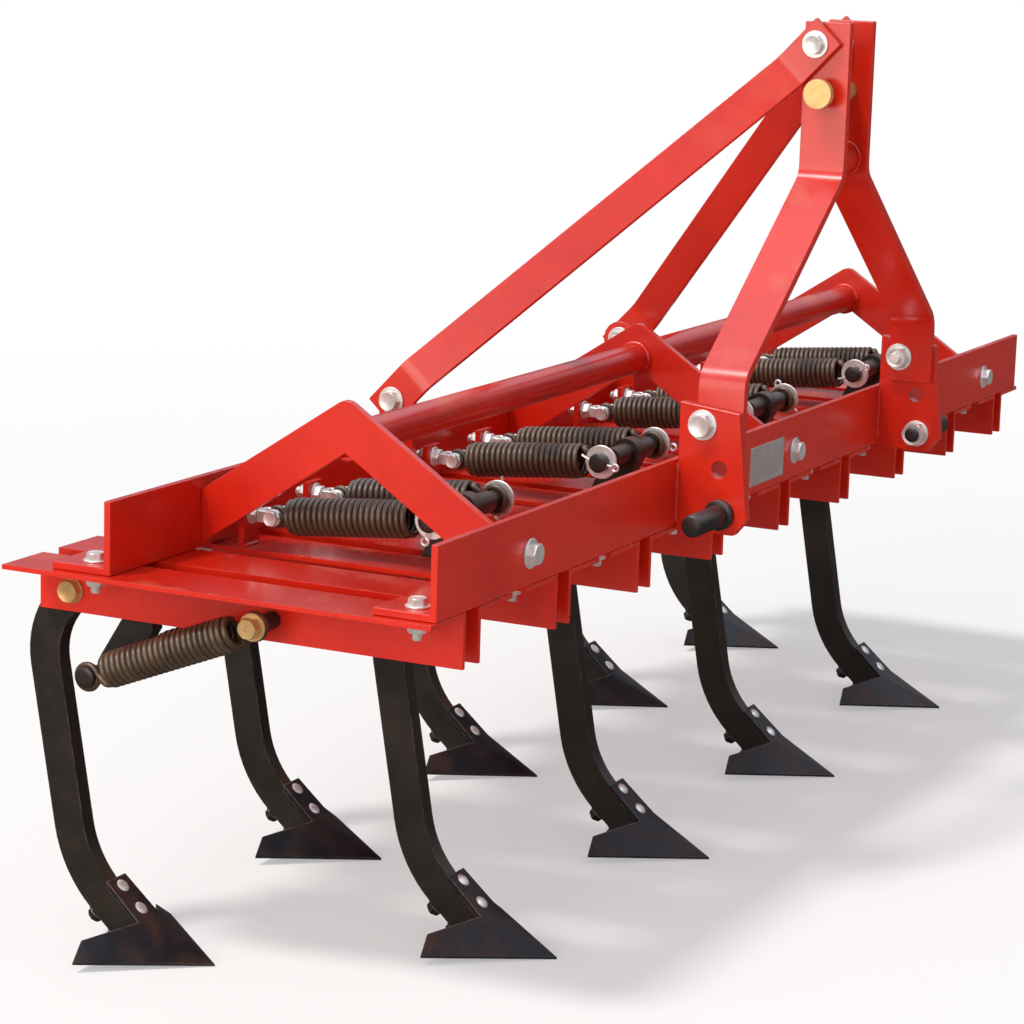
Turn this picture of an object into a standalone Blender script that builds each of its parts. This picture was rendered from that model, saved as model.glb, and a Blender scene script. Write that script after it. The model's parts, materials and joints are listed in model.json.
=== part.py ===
# Nine-tine spring-loaded cultivator for a three-point hitch.
# Metres, +Z up. The tractor stands on the -Y side, the bars run along X, and the
# machine stands on its shovels at Z = 0. Heights named _up are above the bars' underside,
# and places named _back are behind the front bar's front face.
import math

import bmesh
import bpy
from mathutils import Vector

# Frame bars: two steel angles across the machine
TINE_COUNT = 9
TINE_PITCH = 0.240
BAR_OVERHANG = 0.089
BAR_HEIGHT = 0.089
BAR_FLANGE = 0.081
BAR_WALL = 0.009
REAR_BAR_BACK = 0.432

# Tine holders: pairs of angles that run fore and aft under the bars
HOLDER_FRONT_BACK = 0.0
REAR_HOLDER_TAIL = 0.046
FRONT_HOLDER_TAIL = 0.062
HOLDER_DEPTH = 0.067
HOLDER_FLANGE = 0.080
HOLDER_WALL = 0.006
SIDE_CLEARANCE = 0.005

# Tines: one flat steel bar each, bent to a hook
SHANK_THICK = 0.022
SHANK_DEPTH = 0.043
TOE_BACK = 0.116
TOE_UP = 0.026
TOE_ANGLE = 42.0
TOE_LENGTH = 0.055
HEEL_RADIUS = 0.152
LEG_ANGLE = 80.0
LEG_LENGTH = 0.202
CROWN_RADIUS = 0.095
CROWN_ANGLE = 150.0
PIVOT_DROP = 0.041
PIVOT_RADIUS = 0.008
PIVOT_CLEARANCE = 0.0005
EYE_RADIUS = 0.027
FRONT_TIP_BACK = -0.009
REAR_TIP_BACK = 0.369
FIRST_TINE_AHEAD = 0.033

# Levers and spring pins, measured from the tine's pivot
TOP_PIN_AHEAD = 0.050
TOP_PIN_UP = 0.102
TOP_PIN_RADIUS = 0.011
TOP_PIN_REACH = 0.100
SLEEVE_RADIUS = 0.014
SLEEVE_REACH = 0.058
LOW_PIN_AHEAD = 0.050
LOW_PIN_DOWN = 0.092
LOW_PIN_RADIUS = 0.010
LOW_PIN_REACH = 0.071
LEVER_DEPTH = 0.042
ELBOW_AHEAD = 0.086

# Springs: two beside each holder
TOP_SPRING_OFFSET = 0.078
TOP_SPRING_RADIUS = 0.024
TOP_ANCHOR_BACK = 0.352
TOP_ANCHOR_UP = 0.040
LOW_SPRING_OFFSET = 0.062
LOW_SPRING_RADIUS = 0.0225
LOW_ANCHOR_AHEAD = 0.280
LOW_ANCHOR_DROP = 0.041
LOW_ANCHOR_REACH = 0.080
SPRING_WIRE = 0.0045
COIL_INSET = 0.032
EYEBOLT_RADIUS = 0.006
EYEBOLT_LENGTH = 0.038
FORK_CLEARANCE = 0.0015
FORK_WALL = 0.005
LUG_WIDTH = 0.036
LUG_RISE = 0.056
LUG_WALL = 0.008
LUG_BACK = 0.390

# Arch brackets and the brace pipe
ARCH_INSET = 0.205
ARCH_WALL = 0.010
ARCH_DEPTH = 0.056
ARCH_RISE = 0.172
ARCH_SLOPE = 33.5
ARCH_PEAK_BACK = 0.232
ARCH_FOOT = 0.060
ARCH_CORNER = 0.018
PIPE_RADIUS = 0.021
PIPE_BACK = 0.235
PIPE_UP = 0.152

# Hitch plates with the lower link pins
HITCH_SPREAD = 0.756
HITCH_WALL = 0.016
HITCH_REACH = 0.098
HITCH_TOP_REACH = 0.083
HITCH_RISE = 0.164
HITCH_PIN_AHEAD = 0.062
HITCH_PIN_UP = 0.022
HITCH_PIN_RADIUS = 0.014
HITCH_PIN_LENGTH = 0.090
HITCH_HOLE_AHEAD = 0.058
HITCH_HOLE_UP = 0.080
HITCH_HOLE_RADIUS = 0.011

# Mast, top link and rear stays
MAST_WIDTH = 0.065
MAST_WALL = 0.012
MAST_AHEAD = 0.050
MAST_FOOT_UP = 0.100
MAST_KNEE_UP = 0.196
MAST_NECK_UP = 0.432
LINK_PIN_RISE = 0.113
STAY_END_RISE = 0.065
MAST_END_RISE = 0.030
BEND_RADIUS = 0.030
MAST_GAP = 0.076
SPACER_RADIUS = 0.021
LINK_PIN_RADIUS = 0.0125
STAY_WIDTH = 0.050
STAY_WALL = 0.010
STAY_FOOT = 0.050
STAY_BOLT_BACK = 0.424
STAY_BOLT_UP = 0.122
STAY_LUG_WALL = 0.012
STAY_LUG_RADIUS = 0.027

# Shovels: forged sweeps bolted to the toes
SHOVEL_WALL = 0.007
SHOVEL_EDGE = 0.003
SHOVEL_HALF_WIDTH = 0.110
SHOVEL_SWEEP = 0.133
WING_END_UP = 0.010
WING_CHORD = 0.027
NECK_HALF_WIDTH = 0.023
NECK_LENGTH = 0.064

# Gap between pieces that touch
SEAT = 0.0003

ROUND_SIDES = 20
SMALL_SIDES = 12


def toe_to_pivot():
    """Centre line of a shank in its own plane, from the toe to the pivot, with the
    shovel's tip at (0, 0): a straight toe, an arc, a straight leg and the crown's arc."""
    points = [Vector((TOE_BACK, TOE_UP))]
    heading = math.radians(TOE_ANGLE)

    def run(length):
        step = Vector((math.cos(heading), math.sin(heading))) * length
        points.append(points[-1] + step)

    def turn(radius, last, steps):
        nonlocal heading
        first = heading
        start = points[-1].copy()
        for step in range(1, steps + 1):
            heading = first + (last - first) * step / steps
            points.append(start + radius * Vector((math.sin(heading) - math.sin(first),
                                                   math.cos(first) - math.cos(heading))))

    run(TOE_LENGTH)
    turn(HEEL_RADIUS, math.radians(LEG_ANGLE), 8)
    run(LEG_LENGTH)
    turn(CROWN_RADIUS, math.radians(CROWN_ANGLE), 11)
    return points


SHANK_LINE = toe_to_pivot()
PIVOT_FROM_TIP = SHANK_LINE[-1]

# Places that follow from the sizes above
BAR_LENGTH = (TINE_COUNT - 1) * TINE_PITCH + 2 * BAR_OVERHANG
HALF_BAR = BAR_LENGTH / 2
BAR_UNDERSIDE = PIVOT_FROM_TIP.y + PIVOT_DROP
HOLDER_HALF_GAP = SHANK_THICK / 2 + SIDE_CLEARANCE
HOLDER_HALF_WIDTH = HOLDER_HALF_GAP + HOLDER_WALL
REAR_REACH = REAR_TIP_BACK + max(p.x for p in SHANK_LINE) + SHANK_DEPTH / 2
MIDDLE_BACK = (REAR_REACH - HITCH_REACH) / 2
MAST_HALF = MAST_GAP / 2
LINK_PIN_UP = MAST_NECK_UP + LINK_PIN_RISE
STAY_TOP_UP = LINK_PIN_UP + STAY_END_RISE
MAST_TOP_UP = STAY_TOP_UP + MAST_END_RISE
HITCH_HALF = HITCH_SPREAD / 2


def along(back):
    """World Y of a place given behind the front bar's front face."""
    return back - MIDDLE_BACK


def height(up):
    """World Z of a height given above the bars' underside."""
    return BAR_UNDERSIDE + up


def clear_scene():
    for existing in list(bpy.data.objects):
        bpy.data.objects.remove(existing, do_unlink=True)


def material(name, colour, roughness, metallic):
    """A plain Principled material, made once for each name."""
    found = bpy.data.materials.get(name)
    if found:
        return found
    made = bpy.data.materials.new(name)
    made.use_nodes = True
    shader = made.node_tree.nodes["Principled BSDF"]
    shader.inputs["Base Color"].default_value = (*colour, 1.0)
    shader.inputs["Roughness"].default_value = roughness
    shader.inputs["Metallic"].default_value = metallic
    made.diffuse_color = (*colour, 1.0)
    return made


def red_paint():
    return material("red_paint", (0.62, 0.03, 0.015), 0.32, 0.0)


def dark_steel():
    return material("dark_steel", (0.030, 0.024, 0.021), 0.45, 0.6)


def spring_steel():
    return material("spring_steel", (0.028, 0.026, 0.024), 0.38, 0.7)


def blued_steel():
    return material("blued_steel", (0.030, 0.034, 0.045), 0.42, 0.7)


def zinc():
    return material("zinc", (0.55, 0.54, 0.50), 0.35, 0.9)


def finish(name, mesh, finish_material, location=(0, 0, 0), parent=None):
    """Link one named sub-part, smooth where it is round."""
    mesh.materials.clear()
    mesh.materials.append(finish_material)
    mesh.shade_smooth()
    mesh.set_sharp_from_angle(angle=math.radians(35))
    part = bpy.data.objects.new(name, mesh)
    part.location = location
    bpy.context.scene.collection.objects.link(part)
    if parent:
        part.parent = parent
    return part


def solid(bm):
    bmesh.ops.remove_doubles(bm, verts=bm.verts, dist=1e-6)
    bmesh.ops.recalc_face_normals(bm, faces=bm.faces)
    mesh = bpy.data.meshes.new("solid")
    bm.to_mesh(mesh)
    bm.free()
    return mesh


def prism(outline, low, high, frame):
    """A flat outline (a, b) carried from low to high along the frame's third axis.
    frame holds the origin and the three axes."""
    origin, axis_a, axis_b, axis_c = (Vector(v) for v in frame)
    bm = bmesh.new()
    rings = []
    for level in (low, high):
        rings.append([bm.verts.new(origin + a * axis_a + b * axis_b + level * axis_c) for a, b in outline])
    count = len(outline)
    bm.faces.new(rings[0])
    bm.faces.new(rings[1])
    for i in range(count):
        j = (i + 1) % count
        bm.faces.new((rings[0][i], rings[0][j], rings[1][j], rings[1][i]))
    return solid(bm)


FACING_X = ((0, 0, 0), (0, 1, 0), (0, 0, 1), (1, 0, 0))
FACING_Y = ((0, 0, 0), (1, 0, 0), (0, 0, 1), (0, 1, 0))


def circle(centre, radius, sides):
    return [(centre[0] + radius * math.cos(2 * math.pi * i / sides),
             centre[1] + radius * math.sin(2 * math.pi * i / sides)) for i in range(sides)]


def disc_x(centre, radius, low, high, sides=ROUND_SIDES):
    """A round bar along X; centre is (y, z)."""
    return prism(circle(centre, radius, sides), low, high, FACING_X)


def block(low, high):
    outline = [(low[0], low[2]), (high[0], low[2]), (high[0], high[2]), (low[0], high[2])]
    return prism(outline, low[1], high[1], FACING_Y)


def ribbon(line, width):
    """Outline of a bar of even width that follows a line of points, mitred at its bends."""
    left, right = [], []
    last = len(line) - 1
    for i, here in enumerate(line):
        before = (here - line[i - 1]).normalized() if i else None
        after = (line[i + 1] - here).normalized() if i < last else None
        way = ((before or after) + (after or before)).normalized()
        side = Vector((-way.y, way.x))
        stretch = 1.0 / max(0.5, side.dot(Vector((-(after or before).y, (after or before).x))))
        left.append(here + side * width / 2 * stretch)
        right.append(here - side * width / 2 * stretch)
    return [tuple(p) for p in left] + [tuple(p) for p in reversed(right)]


def eased(line, radius, steps=3):
    """The same line of points with each inner corner rounded."""
    points = [line[0]]
    for before, here, after in zip(line, line[1:], line[2:]):
        one = (before - here).normalized()
        two = (after - here).normalized()
        half_turn = one.angle(two) / 2
        centre = here + (one + two).normalized() * radius / math.sin(half_turn)
        start = here + one * radius / math.tan(half_turn) - centre
        end = here + two * radius / math.tan(half_turn) - centre
        points += [centre + start.lerp(end, i / steps).normalized() * radius for i in range(steps + 1)]
    return points + [line[-1]]


def turned(profile, start, way, sides=SMALL_SIDES):
    """A turned body: profile lists (radius, distance) along way from start."""
    way = Vector(way).normalized()
    across = Vector((1, 0, 0)) if abs(way.x) < 0.9 else Vector((0, 1, 0))
    across = (across - way * across.dot(way)).normalized()
    other = way.cross(across)
    bm = bmesh.new()
    rings = []
    for radius, distance in profile:
        centre = Vector(start) + way * distance
        ring = []
        for i in range(sides):
            angle = 2 * math.pi * i / sides
            ring.append(bm.verts.new(centre + radius * (math.cos(angle) * across + math.sin(angle) * other)))
        rings.append(ring)
    bm.faces.new(rings[0])
    bm.faces.new(rings[-1])
    for one, two in zip(rings, rings[1:]):
        for i in range(sides):
            j = (i + 1) % sides
            bm.faces.new((one[i], one[j], two[j], two[i]))
    return solid(bm)


def ring_x(centre, middle_radius, wire_radius, at_x, sides=10, wire_sides=5):
    """A wire ring whose axis runs along X."""
    bm = bmesh.new()
    loops = []
    for i in range(sides):
        turn = 2 * math.pi * i / sides
        loop = []
        for k in range(wire_sides):
            roll = 2 * math.pi * k / wire_sides
            reach = middle_radius + wire_radius * math.cos(roll)
            loop.append(bm.verts.new((at_x + wire_radius * math.sin(roll),
                                      centre[0] + reach * math.cos(turn),
                                      centre[1] + reach * math.sin(turn))))
        loops.append(loop)
    for i in range(sides):
        one, two = loops[i], loops[(i + 1) % sides]
        for k in range(wire_sides):
            j = (k + 1) % wire_sides
            bm.faces.new((one[k], one[j], two[j], two[k]))
    return solid(bm)


def combined(base, joined=(), cut=()):
    """One mesh from a base solid, with others joined to it and cut from it."""
    work = bpy.data.objects.new("work", base)
    bpy.context.scene.collection.objects.link(work)
    for operation, tools in (("UNION", joined), ("DIFFERENCE", cut)):
        for tool_mesh in tools:
            tool = bpy.data.objects.new("tool", tool_mesh)
            bpy.context.scene.collection.objects.link(tool)
            step = work.modifiers.new("combine", "BOOLEAN")
            step.operation = operation
            step.solver = "EXACT"
            step.object = tool
            graph = bpy.context.evaluated_depsgraph_get()
            result = bpy.data.meshes.new_from_object(work.evaluated_get(graph))
            work.modifiers.clear()
            work.data = result
            bpy.data.objects.remove(tool, do_unlink=True)
    mesh = work.data
    bpy.data.objects.remove(work, do_unlink=True)
    return mesh


def tine_x(number):
    """World X of a tine, numbered 1 to TINE_COUNT from the left."""
    return (number - (TINE_COUNT + 1) / 2) * TINE_PITCH


def is_rear(number):
    """Odd tines hang at the rear, even ones at the front."""
    return number % 2 == 1


def row_shift(number):
    """The first tine is set a little ahead of the others in its row."""
    return -FIRST_TINE_AHEAD if number == 1 else 0.0


def pivot_back(number):
    tip = REAR_TIP_BACK if is_rear(number) else FRONT_TIP_BACK
    return tip + row_shift(number) + PIVOT_FROM_TIP.x


def low_anchor_back(number):
    """Place of the long pin on a rear tine's holder."""
    return pivot_back(number) - LOW_ANCHOR_AHEAD


def holder_end_back(number):
    if is_rear(number):
        return pivot_back(number) + REAR_HOLDER_TAIL
    return REAR_BAR_BACK + BAR_FLANGE + FRONT_HOLDER_TAIL


def pattern(number):
    """Number of the tine whose holder this one repeats: 1, 2 or 3."""
    return number if number < 3 else 3 if is_rear(number) else 2


def angle_outline(back):
    """Bar section: an upright flange in front and a flat one behind it at the bottom."""
    front = along(back)
    return [(front, height(0)), (front + BAR_FLANGE, height(0)), (front + BAR_FLANGE, height(BAR_WALL)),
            (front + BAR_WALL, height(BAR_WALL)), (front + BAR_WALL, height(BAR_HEIGHT)),
            (front, height(BAR_HEIGHT))]


def make_front_bar():
    bar = prism(angle_outline(0), -HALF_BAR, HALF_BAR, FACING_X)
    finish("front_bar", bar, red_paint())


def stay_lug(side):
    """Upright lug on the rear bar that takes a stay's foot."""
    bolt_y, bolt_z = along(STAY_BOLT_BACK), height(STAY_BOLT_UP)
    outline = [(bolt_y - STAY_LUG_RADIUS, height(BAR_WALL)), (along(REAR_BAR_BACK) + BAR_WALL / 2, height(BAR_WALL)),
               (bolt_y + STAY_LUG_RADIUS, bolt_z)]
    outline += [(bolt_y + STAY_LUG_RADIUS * math.cos(a), bolt_z + STAY_LUG_RADIUS * math.sin(a))
                for a in (math.radians(180 * i / 8) for i in range(1, 9))]
    inner = side * (HITCH_HALF - HITCH_WALL / 2)
    outer = inner + side * -STAY_LUG_WALL
    return prism(outline, min(inner, outer), max(inner, outer), FACING_X)


def make_rear_bar():
    bar = prism(angle_outline(REAR_BAR_BACK), -HALF_BAR, HALF_BAR, FACING_X)
    finish("rear_bar", combined(bar, joined=[stay_lug(-1), stay_lug(1)]), red_paint())


def holder_angle(side, end_back):
    """One of a holder's two angles: an upright flange inside, a flat one outside on top."""
    inner, outer = HOLDER_HALF_GAP, HOLDER_HALF_WIDTH
    edge = outer + HOLDER_FLANGE
    top = height(-SEAT)
    outline = [(inner, top), (edge, top), (edge, top - HOLDER_WALL), (outer, top - HOLDER_WALL),
               (outer, top - HOLDER_DEPTH), (inner, top - HOLDER_DEPTH)]
    outline = [(side * x, z) for x, z in outline]
    return prism(outline, along(HOLDER_FRONT_BACK), along(end_back), FACING_Y)


def bolt_across(back, up, radius, half_length):
    """A bolt along X with a hex head and a nut outside the given half length."""
    centre = (along(back), height(up))
    shank = disc_x(centre, radius, -half_length - radius, half_length + radius)
    head = disc_x(centre, radius * 1.7, -half_length - radius * 1.3, -half_length + HOLDER_WALL / 2, 6)
    nut = disc_x(centre, radius * 1.7, half_length - HOLDER_WALL / 2, half_length + radius * 1.3, 6)
    return [shank, head, nut]


def anchor_lug(side):
    """Plate on a holder's flange with the fork bolt that tensions a top spring: a cross
    pin for the spring's loop, two arms, a back and a threaded shank through the plate."""
    middle = side * TOP_SPRING_OFFSET
    eye_back, eye_up = TOP_ANCHOR_BACK, TOP_ANCHOR_UP
    loop_reach = EYEBOLT_RADIUS + 2 * SEAT + 2 * SPRING_WIRE
    arm_start = SPRING_WIRE + FORK_CLEARANCE
    arm_end = arm_start + FORK_WALL
    back_start = eye_back + loop_reach + FORK_CLEARANCE
    low, high = height(eye_up - EYEBOLT_RADIUS), height(eye_up + EYEBOLT_RADIUS)

    def piece(x_low, x_high, back_low, back_high):
        return block((middle + x_low, along(back_low), low), (middle + x_high, along(back_high), high))

    lug = block((middle - LUG_WIDTH / 2, along(LUG_BACK), height(-HOLDER_WALL / 2)),
                (middle + LUG_WIDTH / 2, along(LUG_BACK + LUG_WALL), height(LUG_RISE)))
    pin = disc_x((along(eye_back), height(eye_up)), EYEBOLT_RADIUS, middle - arm_end, middle + arm_end, SMALL_SIDES)
    arms = [piece(arm_start, arm_end, eye_back, back_start + FORK_WALL),
            piece(-arm_end, -arm_start, eye_back, back_start + FORK_WALL)]
    back = piece(-arm_end, arm_end, back_start, back_start + FORK_WALL)
    shank = turned([(EYEBOLT_RADIUS * 0.9, 0), (EYEBOLT_RADIUS * 0.9, EYEBOLT_LENGTH)],
                   (middle, along(back_start + FORK_WALL / 2), height(eye_up)), (0, 1, 0))
    return [lug, shank, back, *arms, pin]


def holder_mesh(number):
    end_back = holder_end_back(number)
    pieces = [holder_angle(1, end_back)]
    pieces += bolt_across(pivot_back(number), -PIVOT_DROP, PIVOT_RADIUS, HOLDER_HALF_WIDTH)
    if is_rear(number):
        centre = (along(low_anchor_back(number)), height(-LOW_ANCHOR_DROP))
        pieces.append(disc_x(centre, LOW_PIN_RADIUS, -LOW_ANCHOR_REACH, LOW_ANCHOR_REACH, SMALL_SIDES))
    else:
        pieces += anchor_lug(-1) + anchor_lug(1)
    return combined(holder_angle(-1, end_back), joined=pieces)


def make_holders():
    meshes = {number: holder_mesh(number) for number in (1, 2, 3)}
    for number in range(1, TINE_COUNT + 1):
        finish(f"tine_holder_{number}", meshes[pattern(number)], red_paint(), (tine_x(number), 0, 0))


def arch_outline():
    """The arch in its own plane: two legs down from a peak, cut off above the bars' flanges."""
    slope = math.tan(math.radians(ARCH_SLOPE))
    half = ARCH_DEPTH / 2 / math.cos(math.radians(ARCH_SLOPE))
    front = BAR_WALL + SEAT
    rear = REAR_BAR_BACK - SEAT
    floor = BAR_WALL + SEAT
    peak = ARCH_PEAK_BACK

    def leg(back, offset):
        return ARCH_RISE + offset - slope * abs(back - peak)

    centre_up = ARCH_RISE + half - ARCH_CORNER / math.cos(math.radians(ARCH_SLOPE))
    turns = [math.radians(ARCH_SLOPE * i / 3) for i in range(-3, 4)]
    corners = [(front, floor), (front, leg(front, half))]
    corners += [(peak + ARCH_CORNER * math.sin(a), centre_up + ARCH_CORNER * math.cos(a)) for a in turns]
    corners += [(rear, leg(rear, half)), (rear, floor)]
    rear_inner = peak + (ARCH_RISE - half - floor) / slope
    front_inner = peak - (ARCH_RISE - half - floor) / slope
    corners += [(min(rear_inner, rear - SEAT), floor), (peak, ARCH_RISE - half), (front_inner, floor)]
    return [(along(back), height(up)) for back, up in corners]


def make_arches():
    plate = prism(arch_outline(), 0, ARCH_WALL, FACING_X)
    floor = BAR_WALL + SEAT
    foot_top = ARCH_DEPTH
    front_foot = block((ARCH_WALL / 2, along(BAR_WALL + SEAT), height(floor)),
                       (ARCH_FOOT, along(BAR_WALL + SEAT + ARCH_WALL), height(foot_top)))
    rear_foot = block((ARCH_WALL / 2, along(REAR_BAR_BACK - SEAT - ARCH_WALL), height(floor)),
                      (ARCH_FOOT, along(REAR_BAR_BACK - SEAT), height(foot_top)))
    mesh = combined(plate, joined=[front_foot, rear_foot])
    for name, place in (("left", ARCH_INSET - HALF_BAR), ("centre", 0.0), ("right", HALF_BAR - ARCH_INSET)):
        cut = mesh.copy()
        if name == "centre":
            bore = disc_x((along(PIPE_BACK), height(PIPE_UP)), PIPE_RADIUS + SEAT, -ARCH_WALL, ARCH_WALL * 2)
            cut = combined(cut, cut=[bore])
        finish(f"arch_bracket_{name}", cut, red_paint(), (place - ARCH_WALL / 2, 0, 0))


def make_pipe():
    reach = HALF_BAR - ARCH_INSET - ARCH_WALL / 2 - SEAT
    pipe = disc_x((along(PIPE_BACK), height(PIPE_UP)), PIPE_RADIUS, -reach, reach)
    finish("brace_pipe", pipe, red_paint())


def hitch_mesh(side):
    """Hitch plate on the front bar's face with its lower link pin, which points outwards."""
    outline = [(-SEAT, -0.004), (-SEAT, HITCH_RISE), (-HITCH_TOP_REACH, HITCH_RISE - 0.009),
               (-HITCH_REACH, 0.017), (-HITCH_REACH + 0.017, -0.004)]
    outline = [(along(back), height(up)) for back, up in outline]
    half = HITCH_WALL / 2
    plate = prism(outline, -half, half, FACING_X)
    pin_centre = (along(-HITCH_PIN_AHEAD), height(HITCH_PIN_UP))
    ends = sorted((side * (half + HITCH_PIN_LENGTH), -side * (half + 0.006)))
    pin = disc_x(pin_centre, HITCH_PIN_RADIUS, *ends)
    collar = disc_x(pin_centre, HITCH_PIN_RADIUS * 1.35, *sorted((side * 0.0, side * (half + 0.007))))
    hole = disc_x((along(-HITCH_HOLE_AHEAD), height(HITCH_HOLE_UP)), HITCH_HOLE_RADIUS, -half * 2, half * 2)
    return combined(plate, joined=[collar, pin], cut=[hole])


def make_hitch_plates():
    for name, side in (("left", -1), ("right", 1)):
        finish(f"hitch_plate_{name}", hitch_mesh(side), red_paint(), (side * HITCH_HALF, 0, 0))


def make_mast():
    """Two flat bars, each folded twice: a foot on its hitch plate, a slant and a cheek."""
    foot_x = HITCH_HALF - HITCH_WALL / 2 - SEAT - MAST_WALL / 2
    cheek_x = MAST_HALF + MAST_WALL / 2
    line = [Vector((foot_x, height(MAST_FOOT_UP))), Vector((foot_x, height(MAST_KNEE_UP))),
            Vector((cheek_x, height(MAST_NECK_UP))), Vector((cheek_x, height(MAST_TOP_UP)))]
    front = along(-MAST_AHEAD) - MAST_WIDTH / 2
    link_centre = (along(-MAST_AHEAD), height(LINK_PIN_UP))
    for name, side in (("left", -1), ("right", 1)):
        outline = [(side * x, z) for x, z in ribbon(eased(line, BEND_RADIUS), MAST_WALL)]
        leg = prism(outline, front, front + MAST_WIDTH, FACING_Y)
        bore = disc_x(link_centre, LINK_PIN_RADIUS + SEAT, *sorted((side * MAST_HALF / 2, side * (MAST_HALF + MAST_WALL * 2))))
        finish(f"mast_leg_{name}", combined(leg, cut=[bore]), red_paint())
    spacer_centre = (along(-MAST_AHEAD), height(MAST_NECK_UP + SPACER_RADIUS))
    spacer = disc_x(spacer_centre, SPACER_RADIUS, -MAST_HALF + SEAT, MAST_HALF - SEAT)
    finish("mast_spacer", spacer, red_paint())
    reach = MAST_HALF + MAST_WALL + 0.022
    pin = disc_x(link_centre, LINK_PIN_RADIUS, -reach, reach)
    head = disc_x(link_centre, LINK_PIN_RADIUS * 1.6, -reach - 0.008, -reach + 0.004)
    finish("top_link_pin", combined(pin, joined=[head]), zinc())


def make_stays():
    """Flat bars from the rear lugs to the mast's cheeks, bent twice about their own width."""
    start = Vector((0, along(STAY_BOLT_BACK), height(STAY_BOLT_UP)))
    finish_point = Vector((0, along(-MAST_AHEAD + MAST_WIDTH * 0.2), height(STAY_TOP_UP)))
    slope = (finish_point - start).normalized()
    width_way = Vector((1, 0, 0)).cross(slope)
    span = (finish_point - start).length
    foot_x = HITCH_HALF - HITCH_WALL / 2 + SEAT + STAY_WALL / 2
    cheek_x = MAST_HALF + MAST_WALL + SEAT + STAY_WALL / 2
    end = STAY_WIDTH / 2
    line = [Vector((-end, foot_x)), Vector((STAY_FOOT, foot_x)), Vector((span - STAY_FOOT, cheek_x)),
            Vector((span + end, cheek_x))]
    for name, side in (("left", -1), ("right", 1)):
        frame = (start, slope, Vector((side, 0, 0)), width_way)
        stay = prism(ribbon(eased(line, BEND_RADIUS), STAY_WALL), -STAY_WIDTH / 2, STAY_WIDTH / 2, frame)
        finish(f"stay_{name}", stay, red_paint())


def tine_mesh(rear):
    """A tine about its own pivot: shank, eye, lever and the pin that takes the springs."""
    half = SHANK_THICK / 2
    line = [p - PIVOT_FROM_TIP for p in SHANK_LINE]
    shank = prism(ribbon(line, SHANK_DEPTH), -half, half, FACING_X)
    eye = disc_x((0, 0), EYE_RADIUS, -half, half, 24)
    if rear:
        pin = Vector((-LOW_PIN_AHEAD, -LOW_PIN_DOWN))
        lever_line = [Vector((0, 0)), Vector((-ELBOW_AHEAD * 0.72, LEVER_DEPTH * 0.06)),
                      Vector((-ELBOW_AHEAD * 0.97, -LEVER_DEPTH * 0.22)),
                      Vector((-ELBOW_AHEAD, -LEVER_DEPTH * 0.8)), pin]
        pins = [disc_x(tuple(pin), LOW_PIN_RADIUS, -LOW_PIN_REACH, LOW_PIN_REACH, SMALL_SIDES)]
    else:
        pin = Vector((-TOP_PIN_AHEAD, TOP_PIN_UP))
        lever_line = [Vector((0, 0)), pin]
        pins = [disc_x(tuple(pin), TOP_PIN_RADIUS, -TOP_PIN_REACH, TOP_PIN_REACH, 16),
                disc_x(tuple(pin), SLEEVE_RADIUS, -SLEEVE_REACH, SLEEVE_REACH, 16)]
    lever = prism(ribbon(lever_line, LEVER_DEPTH), -half, half, FACING_X)
    knob = disc_x(tuple(pin), LEVER_DEPTH / 2, -half, half)
    bore = disc_x((0, 0), PIVOT_RADIUS + PIVOT_CLEARANCE, -half * 2, half * 2)
    return combined(shank, joined=[eye, lever, knob, *pins], cut=[bore])


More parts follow.
